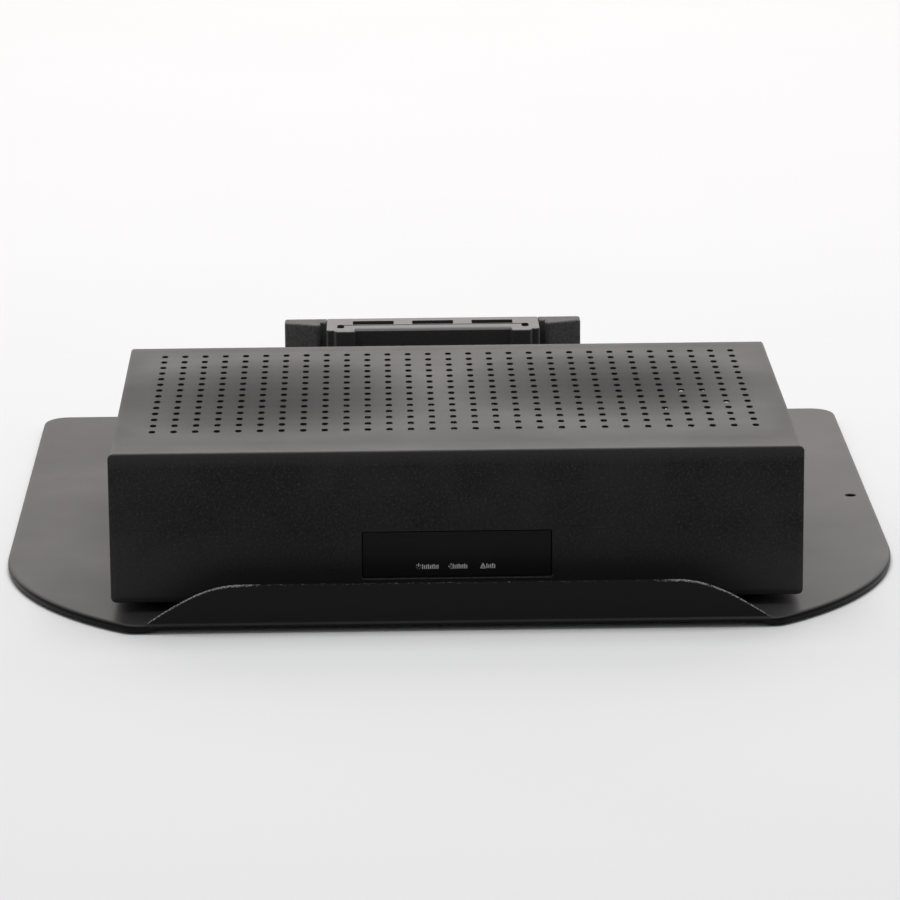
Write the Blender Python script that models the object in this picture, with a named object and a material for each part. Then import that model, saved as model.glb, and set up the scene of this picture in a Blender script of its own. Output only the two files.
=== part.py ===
"""A compact video recorder on its carrier base, as an assembly of separate pieces.

The recorder is a folded-sheet case with a moulded front and four rubber feet. It holds a main board,
a power board, a hard drive on a bridge bracket, a front board and a fan. It stands on a wide steel
base plate with a turned-down rim and a raised front lip, and an upright bracket with three hook
slots stands behind it.

Frame: metres, +X to the right as seen from the front, +Y to the rear, +Z up. The origin is on the
surface that the base stands on, under the middle of the base plate.
"""

import math

import bmesh
import bpy
from mathutils import Matrix, Vector

# ---------------------------------------------------------------- driving dimensions

GAP = 0.0003  # air between two pieces that rest on each other
CUT_PAST = 0.005  # how far a cutter runs past the piece it cuts
HALF_TURN = math.pi
QUARTER_TURN = math.pi / 2

PLATE_WIDTH = 0.422
PLATE_DEPTH = 0.395
PLATE_SHEET = 0.002
PLATE_TOP = 0.0045
RIM_FOOT = 0.001  # the rim's lower edge, held clear of the table by the pads
RIM_BEND = 0.002
FRONT_CORNER = 0.154
FRONT_CORNER_Y = -0.0734  # the level of that corner's centre
LIP_CORNER = 0.012
REAR_CORNER = 0.013
LIP_HEIGHT = 0.0184  # above the plate
LIP_FOOT_X = 0.1425  # where the lip's curved end leaves the plate
LIP_SHOULDER_X = 0.099  # where its top edge runs level
NOTCH_SLOPE = 0.007  # the run of the slanted ends of the gap in the rim under the lip
KEY_HOLE = (0.2018, 0.0150)
KEY_HOLE_RADIUS = 0.0026
PAD_RADIUS = 0.008

CASE_WIDTH = 0.315
CASE_DEPTH = 0.212
CASE_HEIGHT = 0.070
CASE_SHEET = 0.001
CASE_SIDE_OFFSET = 0.0017  # the recorder stands a little right of the plate's middle
CASE_FRONT_SETBACK = 0.0205  # from the lip's front face to the case's front face
FOOT_HEIGHT = 0.0042

BEZEL_FACE = 0.0025
BEZEL_EDGE = 0.0016
BEZEL_CORNER = 0.0024
BEZEL_OVERHANG = 0.0009  # how far the front stands out past the cover at each side
BEZEL_SKIRT_DEPTH = 0.0095
BEZEL_SKIRT_WALL = 0.0018
WINDOW_WIDTH = 0.0868
WINDOW_HEIGHT = 0.0221
WINDOW_CENTRE_Z = 0.02135
WINDOW_SETBACK = 0.0007

BRACKET_SIDE_OFFSET = -0.0046
BRACKET_WIDTH = 0.152
BRACKET_HEIGHT = 0.0696  # above the plate
BRACKET_REAR = 0.1185
POST_WIDTH = 0.0184
POST_OUTER_DEPTH = 0.0100
POST_INNER_DEPTH = 0.0150
POST_WEB_DEPTH = 0.0085  # of the web that closes the rear of the gap beside the socket
SOCKET_WIDTH = 0.1090
SOCKET_DEPTH = 0.0310
SLOT_WIDTH = 0.021
SLOT_DEPTH = 0.008
SLOT_REAR = -0.0066
SLOT_PITCH = 0.0305
SLOT_REACH = 0.040
FOOT_PLATE_SHEET = 0.0025
FOOT_PLATE_SCREW_ROWS = (-0.0255, 0.006)
FOOT_PLATE_SCREW_INSET = 0.010
SCREW_CLEARANCE = 0.0023

BOARD = 0.0016
BOARD_Z = 0.007  # a board's underside above the case's underside

DRIVE_LENGTH = 0.147
DRIVE_WIDTH = 0.1016
DRIVE_HEIGHT = 0.0261
DRIVE_LOW = (-0.052, 0.024, 0.0365)
SPINDLE = (0.0508, 0.0508)  # from the drive's low corner
ARM_PIVOT = (0.1110, 0.0290)

FAN_SIDE = 0.040
FAN_DEPTH = 0.010
FAN_X = 0.126
FAN_Z = 0.036

REAR_PANEL_Y = 0.2097
CENTRE_LINE_Z = 0.0200  # of the rear sockets

plate_front = -PLATE_DEPTH / 2
case_underside = PLATE_TOP + GAP + FOOT_HEIGHT

# ---------------------------------------------------------------- scene and finishes

for leftover in list(bpy.data.objects):
    bpy.data.objects.remove(leftover)


def finish(name, colour, roughness, metallic=0.0):
    """A plain Principled material."""
    made = bpy.data.materials.new(name)
    made.use_nodes = True
    shader = made.node_tree.nodes["Principled BSDF"]
    shader.inputs["Base Color"].default_value = (*colour, 1.0)
    shader.inputs["Roughness"].default_value = roughness
    shader.inputs["Metallic"].default_value = metallic
    return made


powder_coat = finish("black_powder_coat", (0.016, 0.016, 0.017), 0.42)
moulding = finish("black_moulding", (0.012, 0.012, 0.014), 0.50)
gloss_moulding = finish("gloss_moulding", (0.020, 0.019, 0.019), 0.28)
smoked_lens = finish("smoked_lens", (0.006, 0.006, 0.007), 0.10)
rubber = finish("black_rubber", (0.010, 0.010, 0.010), 0.85)
bare_steel = finish("zinc_plated_steel", (0.55, 0.55, 0.56), 0.35, 1.0)
black_steel = finish("black_screw_steel", (0.03, 0.03, 0.03), 0.35, 1.0)
cast_alloy = finish("cast_aluminium", (0.60, 0.61, 0.62), 0.40, 1.0)
mirror_disk = finish("disk_coating", (0.72, 0.72, 0.74), 0.08, 1.0)
solder_mask = finish("green_solder_mask", (0.015, 0.12, 0.045), 0.40)
black_anodised = finish("black_anodised", (0.03, 0.03, 0.032), 0.45, 1.0)
chip_resin = finish("chip_resin", (0.02, 0.02, 0.022), 0.55)
nickel = finish("nickel_plate", (0.62, 0.60, 0.56), 0.25, 1.0)
clear_resin = finish("led_resin", (0.75, 0.78, 0.75), 0.15)
copper_wire = finish("transformer_tape", (0.75, 0.55, 0.08), 0.45)
capacitor_sleeve = finish("capacitor_sleeve", (0.03, 0.04, 0.10), 0.35)
ribbon_grey = finish("ribbon_grey", (0.55, 0.56, 0.58), 0.50)
cable_red = finish("data_cable_red", (0.45, 0.03, 0.02), 0.45)


def frame_empty(name, place):
    """An empty that carries the pieces of one assembly."""
    made = bpy.data.objects.new(name, None)
    made.location = place
    bpy.context.scene.collection.objects.link(made)
    return made


recorder = frame_empty(
    "recorder_frame",
    (CASE_SIDE_OFFSET, plate_front + CASE_FRONT_SETBACK, case_underside),
)
bracket = frame_empty("bracket_frame", (BRACKET_SIDE_OFFSET, BRACKET_REAR, PLATE_TOP + GAP))

# ---------------------------------------------------------------- shapes


def lofted(rings):
    """One closed shape skinned over rings of equally many points, with a face on each end."""
    shape = bmesh.new()
    loops = [[shape.verts.new(point) for point in ring] for ring in rings]
    for near, far in zip(loops, loops[1:]):
        for i in range(len(near)):
            j = (i + 1) % len(near)
            shape.faces.new((near[i], near[j], far[j], far[i]))
    shape.faces.new(loops[0])
    shape.faces.new(loops[-1])
    bmesh.ops.recalc_face_normals(shape, faces=shape.faces)
    return shape


def along(axis, across, up, level):
    """The point (across, up) of a plane square to `axis`, at `level` along it."""
    if axis == "x":
        return Vector((level, across, up))
    if axis == "y":
        return Vector((across, level, up))
    return Vector((across, up, level))


def prism(outline, axis, start, end):
    """An outline of (across, up) points, drawn square to an axis and pulled along it."""
    return lofted([[along(axis, a, u, level) for a, u in outline] for level in (start, end)])


def block(low, high):
    """A cuboid between two corners."""
    corners = [(low[0], low[1]), (high[0], low[1]), (high[0], high[1]), (low[0], high[1])]
    return prism(corners, "z", low[2], high[2])


def arc(centre, radius, start, end, steps):
    """Points of an arc, angles in radians, both ends included."""
    turns = [start + (end - start) * i / steps for i in range(steps + 1)]
    return [
        (centre[0] + radius * math.cos(turn), centre[1] + radius * math.sin(turn)) for turn in turns
    ]


def circle(centre, radius, sides):
    """Points of a whole circle."""
    return arc(centre, radius, 0, 2 * HALF_TURN * (sides - 1) / sides, sides - 1)


def rounded_rectangle(centre, width, height, radius, steps=3):
    """A rectangle's outline with round corners."""
    points = []
    for quarter, (side, rise) in enumerate([(1, 1), (-1, 1), (-1, -1), (1, -1)]):
        corner = (
            centre[0] + side * (width / 2 - radius),
            centre[1] + rise * (height / 2 - radius),
        )
        turn = quarter * QUARTER_TURN
        points += arc(corner, radius, turn, turn + QUARTER_TURN, steps)
    return points


def rod(axis, centre, radius, start, end, sides=16):
    """A round bar. `centre` is where its axis crosses the plane square to it."""
    return prism(circle(centre, radius, sides), axis, start, end)


def turned(axis, centre, profile, sides=16):
    """A turned shape: `profile` lists (radius, level) from one end of the axis to the other."""
    rings = [
        [along(axis, a, u, level) for a, u in circle(centre, radius, sides)]
        for radius, level in profile
    ]
    return lofted(rings)


def together(*shapes):
    """Several shapes in one mesh, as one cutter with many teeth."""
    whole = bmesh.new()
    scratch = bpy.data.meshes.new("scratch")
    for shape in shapes:
        shape.to_mesh(scratch)
        shape.free()
        whole.from_mesh(scratch)
    bpy.data.meshes.remove(scratch)
    return whole


def turned_about(shape, centre, axis, angle):
    """The shape turned by an angle about an axis through a point."""
    turn = Matrix.Rotation(angle, 3, axis)
    bmesh.ops.rotate(shape, cent=centre, matrix=turn, verts=shape.verts)
    return shape


def piece(name, shape, coat, parent=None, origin=(0, 0, 0)):
    """A named object. `origin` is where its own origin stands in its parent's frame."""
    mesh = bpy.data.meshes.new(name)
    bmesh.ops.translate(shape, verts=shape.verts, vec=-Vector(origin))
    shape.to_mesh(mesh)
    shape.free()
    mesh.shade_smooth()
    mesh.set_sharp_from_angle(angle=math.radians(35))
    mesh.materials.append(coat)
    made = bpy.data.objects.new(name, mesh)
    made.parent = parent
    made.location = origin
    bpy.context.scene.collection.objects.link(made)
    return made


def helper(target, shape, operation):
    """A hidden shape that is cut from, or joined to, a piece. It is drawn in the parent's frame."""
    count = len(target.modifiers) + 1
    tool = piece(f"{target.name}_{operation.lower()}_{count}", shape, target.active_material, target.parent)
    tool.hide_render = True
    tool.display_type = "WIRE"
    step = target.modifiers.new(f"{operation.lower()}_{count}", "BOOLEAN")
    step.operation = operation
    step.solver = "EXACT"
    step.object = tool
    return target


def cut(target, *shapes):
    return helper(target, together(*shapes), "DIFFERENCE")


def join(target, *shapes):
    return helper(target, together(*shapes), "UNION")


def pan_head_screw(name, axis, centre, seat, outwards, parent, size, coat):
    """A slotted screw whose head rests at `seat` on an axis, facing `outwards` (1 or -1).

    `size` is (head radius, shank radius, shank length).
    """
    head, shank, length = size
    height = head * 0.62
    profile = [
        (shank * 0.7, seat - outwards * length),
        (shank, seat - outwards * (length - shank * 0.4)),
        (shank, seat),
        (head, seat),
        (head * 0.95, seat + outwards * height * 0.55),
        (head * 0.60, seat + outwards * height),
    ]
    screw = piece(name, turned(axis, centre, profile, 12), coat, parent)
    reach, across = head * 0.52, head * 0.14
    slot = [
        (centre[0] + side * reach, centre[1] + rise * across)
        for side, rise in [(-1, -1), (1, -1), (1, 1), (-1, 1)]
    ]
    slot_floor = seat + outwards * height * 0.5
    return cut(screw, prism(slot, axis, *sorted((slot_floor, seat + outwards * head * 2))))


# ---------------------------------------------------------------- base plate


def plate_outline(inset):
    """The plate's outline from above, moved in by `inset`, anticlockwise from the front right."""
    side = PLATE_WIDTH / 2
    big = (side - FRONT_CORNER, FRONT_CORNER_Y)
    small_y = plate_front + LIP_CORNER
    reach = math.sqrt((FRONT_CORNER - LIP_CORNER) ** 2 - (small_y - big[1]) ** 2)
    small = (big[0] + reach, small_y)
    meet = math.atan2(small[1] - big[1], reach)
    rear = (side - REAR_CORNER, PLATE_DEPTH / 2 - REAR_CORNER)
    right = arc(small, LIP_CORNER - inset, -QUARTER_TURN, meet, 3)
    right += arc(big, FRONT_CORNER - inset, meet, 0, 12)[1:]
    right += arc(rear, REAR_CORNER - inset, 0, QUARTER_TURN, 5)
    left = [(-x, y) for x, y in reversed(right)]
    return right + left


def lip_profile(steps=12):
    """The lip from the front: a level top edge that runs down to the plate in a sine curve."""
    run = LIP_FOOT_X - LIP_SHOULDER_X
    right = [
        (
            LIP_FOOT_X - run * i / steps,
            PLATE_TOP + LIP_HEIGHT * math.sin(QUARTER_TURN * i / steps),
        )
        for i in range(steps + 1)
    ]
    left = [(-x, z) for x, z in reversed(right)]
    underside = PLATE_TOP - PLATE_SHEET
    outline = [(-LIP_FOOT_X, underside), (LIP_FOOT_X, underside)] + right + left
    return [(x + CASE_SIDE_OFFSET, z) for x, z in outline]


def make_base_plate():
    """A pressed steel sheet: flat top, a bent-down rim and a bent-up lip across the front."""
    underside = PLATE_TOP - PLATE_SHEET
    bend = [i * QUARTER_TURN / 3 for i in range(4)]
    sections = [
        (RIM_BEND * (1 - math.sin(turn)), PLATE_TOP - RIM_BEND * (1 - math.cos(turn)))
        for turn in bend
    ]
    sections += [(0.0, RIM_FOOT), (PLATE_SHEET, RIM_FOOT), (PLATE_SHEET, underside)]
    rings = [[(x, y, z) for x, y in plate_outline(inset)] for inset, z in sections]
    plate = piece("base_plate", lofted(rings), powder_coat)
    notch = [
        (CASE_SIDE_OFFSET + x, z)
        for x, z in [
            (-LIP_FOOT_X, 0.0),
            (LIP_FOOT_X, 0.0),
            (LIP_FOOT_X - NOTCH_SLOPE, underside),
            (NOTCH_SLOPE - LIP_FOOT_X, underside),
        ]
    ]
    cut(plate, prism(notch, "y", plate_front - CUT_PAST, plate_front + PLATE_SHEET + CUT_PAST))
    join(plate, prism(lip_profile(), "y", plate_front, plate_front + PLATE_SHEET))
    low, high = -CUT_PAST, PLATE_TOP + CUT_PAST
    holes = [rod("z", KEY_HOLE, KEY_HOLE_RADIUS, low, high, 12)]
    for across, row in bracket_screw_places():
        place = (BRACKET_SIDE_OFFSET + across, BRACKET_REAR + row)
        holes.append(rod("z", place, SCREW_CLEARANCE, low, high, 8))
    cut(plate, *holes)


def bracket_screw_places():
    """Where the bracket's four screws stand, in the bracket's own frame."""
    reach = BRACKET_WIDTH / 2 - FOOT_PLATE_SCREW_INSET
    return [(side * reach, row) for row in FOOT_PLATE_SCREW_ROWS for side in (-1, 1)]


def make_pads():
    """Four soft pads that keep the rim off the table."""
    places = {
        "front_left": (-0.150, -0.150),
        "front_right": (0.150, -0.150),
        "rear_left": (-0.185, 0.170),
        "rear_right": (0.185, 0.170),
    }
    top = PLATE_TOP - PLATE_SHEET - GAP
    for place, centre in places.items():
        profile = [(PAD_RADIUS * 0.92, 0.0), (PAD_RADIUS, 0.0005), (PAD_RADIUS, top)]
        piece(f"pad_{place}", turned("z", centre, profile, 20), rubber)


# ---------------------------------------------------------------- upright bracket


def post_outline(inset):
    """The right post and its web from above, moved in by `inset`, anticlockwise from the rear right."""
    outer = BRACKET_WIDTH / 2 - inset
    inner = BRACKET_WIDTH / 2 - POST_WIDTH + inset
    web = SOCKET_WIDTH / 2 + GAP + inset
    rear, corner = -inset, 0.0012
    return [
        (outer, rear), (web, rear), (web, -POST_WEB_DEPTH + inset), (inner, -POST_WEB_DEPTH + inset),
        (inner, -POST_INNER_DEPTH + corner + inset), (inner + corner, -POST_INNER_DEPTH + inset),
        (outer - corner, -POST_OUTER_DEPTH + inset), (outer, -POST_OUTER_DEPTH + corner + inset),
    ]


def make_bracket():
    """A foot plate with two posts and a slotted socket between them. Its frame's y is 0 at its rear."""
    half = BRACKET_WIDTH / 2
    foot_top = FOOT_PLATE_SHEET
    foot = piece(
        "bracket_foot",
        block((-half, -SOCKET_DEPTH - 0.003, 0), (half, 0.011, foot_top)),
        powder_coat,
        bracket,
    )
    places = bracket_screw_places()
    cut(foot, *[rod("z", place, SCREW_CLEARANCE, -CUT_PAST, 2 * CUT_PAST, 8) for place in places])
    names = ("front_left", "front_right", "rear_left", "rear_right")
    for name, place in zip(names, places):
        pan_head_screw(
            f"bracket_screw_{name}", "z", place, foot_top + GAP, 1, bracket,
            (0.0038, 0.0019, 0.0055), black_steel,
        )
    stand = foot_top + GAP
    for name, side in (("left", -1), ("right", 1)):
        rings = [[(side * x, y, z) for x, y in post_outline(inset)] for inset, z in (
            (0.0, stand), (0.0, BRACKET_HEIGHT - 0.0008), (0.0006, BRACKET_HEIGHT),
        )]
        piece(f"bracket_post_{name}", lofted(rings), moulding, bracket)
    wide = SOCKET_WIDTH / 2
    lug_inner = 0.0400
    lug_outer = 0.0505
    recess = 0.0260
    shoulder = 0.0278
    right = [
        (lug_inner - 0.001, -recess),
        (lug_inner, -recess - 0.001),
        (lug_inner, -SOCKET_DEPTH + 0.002),
        (lug_inner + 0.002, -SOCKET_DEPTH),
        (lug_outer - 0.0025, -SOCKET_DEPTH),
        (lug_outer, -SOCKET_DEPTH + 0.0025),
        (lug_outer, -shoulder),
        (wide, -shoulder),
        (wide, 0),
    ]
    outline = right + [(-x, y) for x, y in reversed(right)]
    socket = piece(
        "bracket_socket", prism(outline, "z", stand, BRACKET_HEIGHT), gloss_moulding, bracket
    )
    cutters = []
    for step in (-1, 0, 1):
        cutters.append(block(
            (step * SLOT_PITCH - SLOT_WIDTH / 2, SLOT_REAR - SLOT_DEPTH, BRACKET_HEIGHT - SLOT_REACH),
            (step * SLOT_PITCH + SLOT_WIDTH / 2, SLOT_REAR, BRACKET_HEIGHT + 0.005),
        ))
    for side in (-1, 1):
        outline = rounded_rectangle((side * 0.0472, -0.0188), 0.0036, 0.0080, 0.0016, 2)
        cutters.append(prism(outline, "z", BRACKET_HEIGHT - SLOT_REACH, BRACKET_HEIGHT + 0.005))
    cut(socket, *cutters)


# ---------------------------------------------------------------- recorder case


def sheet_u(half, low, high, thick, bend, opening):
    """A U of folded sheet seen from the front, open downwards (1) or upwards (-1)."""
    outer = arc((half - bend, high - bend), bend, 0, QUARTER_TURN, 2)
    inner_bend = max(bend - thick, 0.0002)
    inner = arc((half - thick - inner_bend, high - thick - inner_bend), inner_bend, 0, QUARTER_TURN, 1)
    right = [(half, low)] + outer
    left = [(-x, z) for x, z in reversed(right)]
    inside_left = [(-half + thick, low)] + [(-x, z) for x, z in inner]
    inside_right = [(x, z) for x, z in reversed(inner)] + [(half - thick, low)]
    outline = right + left + inside_left + inside_right
    if opening < 0:
        outline = [(x, high + low - z) for x, z in reversed(outline)]
    return outline


COVER_FRONT = 0.0023
INSIDE_HALF = CASE_WIDTH / 2 - CASE_SHEET - GAP
FLANGE_HEIGHT = 0.015
COVER_SCREW_Z = 0.0095
COVER_SCREW_YS = {"front": 0.040, "rear": 0.180}


def make_case():
    """The cover, the tray and the rear panel, and the screws that hold the cover to the tray."""
    half = CASE_WIDTH / 2
    cover = piece(
        "top_cover",
        prism(sheet_u(half, 0.0008, CASE_HEIGHT, CASE_SHEET, 0.0016, 1), "y", COVER_FRONT, CASE_DEPTH),
        powder_coat,
        recorder,
    )
    tray_rear = REAR_PANEL_Y - GAP
    tray = piece(
        "chassis_tray",
        prism(sheet_u(INSIDE_HALF, 0, FLANGE_HEIGHT, CASE_SHEET, 0.0016, -1), "y", 0.0100, tray_rear),
        bare_steel,
        recorder,
    )
    bosses = [
        rod("z", place, 0.003, CASE_SHEET / 2, BOARD_Z - GAP, 10)
        for place in main_board_bosses() + power_board_bosses()
    ]
    join(tray, *bosses)
    cut(tray, *[rod("z", place, 0.0013, 0.0022, 0.02, 8) for place in main_board_bosses()])
    through_cover, through_tray = [], []
    for y in COVER_SCREW_YS.values():
        for side in (-1, 1):
            ends = sorted((side * (half - 0.006), side * (half + 0.006)))
            through_cover.append(rod("x", (y, COVER_SCREW_Z), 0.0018, *ends, 8))
            through_tray.append(rod("x", (y, COVER_SCREW_Z), 0.0018, *ends, 8))
    cut(cover, *through_cover)
    cut(tray, *through_tray)
    for row, y in COVER_SCREW_YS.items():
        for name, side in (("left", -1), ("right", 1)):
            pan_head_screw(
                f"cover_screw_{name}_{row}", "x", (y, COVER_SCREW_Z), side * (half + GAP), side,
                recorder, (0.0030, 0.0014, 0.0060), black_steel,
            )


def make_rear_panel():
    """The upright rear sheet with an opening for each socket and a slotted fan outlet."""
    panel = piece(
        "rear_panel",
        block((-INSIDE_HALF, REAR_PANEL_Y, 0), (INSIDE_HALF, REAR_PANEL_Y + CASE_SHEET, 0.0687)),
        powder_coat,
        recorder,
    )
    near, far = REAR_PANEL_Y - 0.004, REAR_PANEL_Y + 0.005
    openings = [rod("y", (x, CENTRE_LINE_Z), 0.0068, near, far, 16) for x in VIDEO_XS]
    for centre_x, width, low, high in (NETWORK, SERIAL, DISPLAY, INLET, SWITCH):
        openings.append(block(
            (centre_x - width / 2 - GAP, near, low - GAP),
            (centre_x + width / 2 + GAP, far, high + GAP),
        ))
    reach = FAN_SIDE / 2 - 0.0025
    rows = 7
    for i in range(rows):
        level = (i - (rows - 1) / 2) * 0.0048
        half_slot = math.sqrt(reach**2 - level**2)
        openings.append(block(
            (FAN_X - half_slot, near, FAN_Z + level - 0.0014),
            (FAN_X + half_slot, far, FAN_Z + level + 0.0014),
        ))
    cut(panel, *openings)


VIDEO_XS = (0.000, 0.022, 0.044, 0.066)
# The square openings of the rear panel: (centre x, width, low z, high z) in the case's frame
NETWORK = (-0.0235, 0.0160, 0.0089, 0.0222)
SERIAL = (-0.0445, 0.0145, 0.0089, 0.0158)
DISPLAY = (0.0880, 0.0150, 0.0089, 0.0148)
INLET = (-0.136, 0.0200, 0.0140, 0.0290)
SWITCH = (-0.1090, 0.0130, 0.0120, 0.0320)


def bezel_ring(inset, y, overhang=0.0):
    width, height = CASE_WIDTH + 2 * (overhang - inset), CASE_HEIGHT - 2 * inset
    radius = max(BEZEL_CORNER - inset, 0.0004)
    outline = rounded_rectangle((0, CASE_HEIGHT / 2), width, height, radius, 3)
    return [(x, y, z) for x, z in outline]


def make_front():
    """The moulded front with its skirt, and the smoked window set into it."""
    skirt = CASE_SHEET + GAP
    inner = skirt + BEZEL_SKIRT_WALL
    bend = [i * QUARTER_TURN / 3 for i in range(4)]
    rings = [
        bezel_ring(BEZEL_EDGE * (1 - math.sin(turn)), BEZEL_EDGE * (1 - math.cos(turn)), BEZEL_OVERHANG)
        for turn in bend
    ]
    rings += [
        bezel_ring(0, COVER_FRONT - GAP, BEZEL_OVERHANG),
        bezel_ring(skirt, COVER_FRONT - GAP),
        bezel_ring(skirt, BEZEL_SKIRT_DEPTH),
        bezel_ring(inner, BEZEL_SKIRT_DEPTH),
        bezel_ring(inner, BEZEL_FACE),
    ]
    bezel = piece("front_bezel", lofted(rings), moulding, recorder)
    aperture = rounded_rectangle((0, WINDOW_CENTRE_Z), WINDOW_WIDTH, WINDOW_HEIGHT, 0.0008, 2)
    cut(bezel, prism(aperture, "y", -CUT_PAST, CUT_PAST))
    posts = [
        rod("y", (x, FRONT_BOARD_SCREW_Z), 0.0028, BEZEL_FACE - 0.0005, FRONT_BOARD_Y - GAP, 12)
        for x in FRONT_BOARD_SCREW_XS
    ]
    join(bezel, *posts)
    sizes = [(-GAP, WINDOW_SETBACK), (-GAP, BEZEL_FACE + GAP), (0.003, BEZEL_FACE + GAP), (0.003, 0.0040)]
    rings = []
    for grow, y in sizes:
        outline = rounded_rectangle(
            (0, WINDOW_CENTRE_Z), WINDOW_WIDTH + 2 * grow, WINDOW_HEIGHT + 2 * grow, 0.0006, 2
        )
        rings.append([(x, y, z) for x, z in outline])
    piece("display_window", lofted(rings), smoked_lens, recorder)


def make_feet():
    """Four rubber feet under the case."""
    places = {
        "front_left": (-0.135, 0.022),
        "front_right": (0.135, 0.022),
        "rear_left": (-0.135, 0.188),
        "rear_right": (0.135, 0.188),
    }
    for name, centre in places.items():
        profile = [(0.0070, -FOOT_HEIGHT), (0.0078, -FOOT_HEIGHT + 0.0008), (0.0085, -GAP)]
        piece(f"foot_{name}", turned("z", centre, profile, 20), rubber, recorder)


# ---------------------------------------------------------------- boards

FRONT_BOARD_Y = 0.0120
FRONT_BOARD_SCREW_XS = (-0.0505, 0.0505)
FRONT_BOARD_SCREW_Z = 0.031
LED_XS = {"standby": -0.0133, "remote": 0.0002, "alert": 0.0138}
LED_Z = 0.0255


def main_board_bosses():
    return [(x, y) for x in (-0.052, 0.144) for y in (0.080, 0.190)]


def power_board_bosses():
    return [(x, y) for x in (-0.144, -0.074) for y in (0.080, 0.175)]


def make_front_board():
    """The narrow board behind the window: three indicators and the remote-control receiver."""
    board = piece(
        "front_board",
        block((-0.055, FRONT_BOARD_Y, 0.006), (0.055, FRONT_BOARD_Y + BOARD, 0.036)),
        solder_mask,
        recorder,
    )
    cut(board, *[
        rod("y", (x, FRONT_BOARD_SCREW_Z), 0.0014, BEZEL_FACE, 2 * FRONT_BOARD_Y, 10)
        for x in FRONT_BOARD_SCREW_XS
    ])
    for name, x in LED_XS.items():
        face = FRONT_BOARD_Y - GAP
        profile = [
            (0.0007, face - 0.0052), (0.0014, face - 0.0048), (0.0016, face - 0.0040),
            (0.0016, face - 0.0010), (0.0019, face - 0.0010), (0.0019, face),
        ]
        piece(f"indicator_{name}", turned("y", (x, LED_Z), profile, 14), clear_resin, recorder)
    receiver = block((-0.0335, 0.0070, 0.0210), (-0.0275, FRONT_BOARD_Y - GAP, 0.0280))
    eye = turned("y", (-0.0305, 0.0245), [(0.0010, 0.0052), (0.0021, 0.0060), (0.0024, 0.0080)], 14)
    join(piece("remote_receiver", receiver, chip_resin, recorder), eye)


def make_ribbon():
    """The flat cable from the front board's rear to the main board, bent once."""
    thick = 0.0006
    rear = FRONT_BOARD_Y + BOARD + GAP
    low = BOARD_Z + BOARD + GAP
    centre_line = [
        (rear, 0.016), (rear + 0.004, 0.016), (0.026, 0.0135), (0.034, 0.0105), (0.044, low + 0.0006),
        (0.060, low + 0.0003), (0.078, low + 0.0003),
    ]
    over = [(y, z + thick / 2) for y, z in centre_line]
    under = [(y, z - thick / 2) for y, z in reversed(centre_line)]
    piece("ribbon_cable", prism(over + under, "x", -0.012, 0.008), ribbon_grey, recorder)


def make_main_board():
    """The main board on four bosses, with its screws, processor and finned heatsink."""
    top = BOARD_Z + BOARD
    board = piece(
        "main_board", block((-0.058, 0.072, BOARD_Z), (0.150, 0.1985, top)), solder_mask, recorder
    )
    holes = [rod("z", place, 0.0016, 0.0, 0.02, 8) for place in main_board_bosses()]
    cut(board, *holes)
    for name, place in zip(("front_left", "rear_left", "front_right", "rear_right"), main_board_bosses()):
        pan_head_screw(
            f"board_screw_{name}", "z", place, top + GAP, 1, recorder,
            (0.0026, 0.0010, 0.0055), bare_steel,
        )
    chip_top = top + GAP + 0.0018
    chip = block((0.0165, 0.138, top + GAP), (0.0435, 0.165, chip_top))
    piece("processor", chip, chip_resin, recorder)
    low = chip_top + GAP
    body = piece(
        "heatsink", block((0.010, 0.1315, low), (0.050, 0.1715, low + 0.014)), black_anodised, recorder
    )
    grooves = 7
    pitch = 0.040 / (grooves + 1)
    cut(body, *[
        block((0.010 + pitch * (i + 1) - 0.0017, 0.12, low + 0.003),
              (0.010 + pitch * (i + 1) + 0.0017, 0.18, low + 0.02))
        for i in range(grooves)
    ])


# ---------------------------------------------------------------- rear sockets


def make_rear_sockets():
    """Four coaxial video sockets, and the network, serial and display sockets."""
    top = BOARD_Z + BOARD + GAP
    for count, x in enumerate(VIDEO_XS, 1):
        outer = REAR_PANEL_Y + CASE_SHEET
        body = block((x - 0.0070, 0.1850, top), (x + 0.0070, 0.1965, CENTRE_LINE_Z + 0.0075))
        socket = piece(f"video_socket_{count}", body, nickel, recorder)
        barrel = turned("y", (x, CENTRE_LINE_Z), [
            (0.0060, 0.1950), (0.0060, outer + 0.0022), (0.0048, outer + 0.0022), (0.0048, outer + 0.0130),
        ], 16)
        lug = rod("z", (x, outer + 0.0090), 0.0009, CENTRE_LINE_Z - 0.0054, CENTRE_LINE_Z + 0.0054, 8)
        join(socket, barrel)
        join(socket, lug)
        cut(socket, rod("y", (x, CENTRE_LINE_Z), 0.0034, outer + 0.0050, outer + 0.02, 12))
    for name, (x, width, low, high), depth, mouth in (
        ("network_socket", NETWORK, 0.0200, (0.0118, 0.0070, 0.0130)),
        ("serial_socket", SERIAL, 0.0170, (0.0122, 0.0046, 0.0120)),
        ("display_socket", DISPLAY, 0.0140, (0.0120, 0.0036, 0.0080)),
    ):
        outer = REAR_PANEL_Y + CASE_SHEET + 0.0006
        shell = piece(
            name, block((x - width / 2, outer - depth, low), (x + width / 2, outer, high)),
            nickel, recorder,
        )
        wide, tall, deep = mouth
        middle = (low + high) / 2
        cut(shell, block((x - wide / 2, outer - deep, middle - tall / 2),
                         (x + wide / 2, outer + 0.01, middle + tall / 2)))


# ---------------------------------------------------------------- power supply

ROCKER_PIVOT = (SWITCH[0], 0.2065, (SWITCH[2] + SWITCH[3]) / 2)
ROCKER_TILT = math.radians(10)


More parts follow.
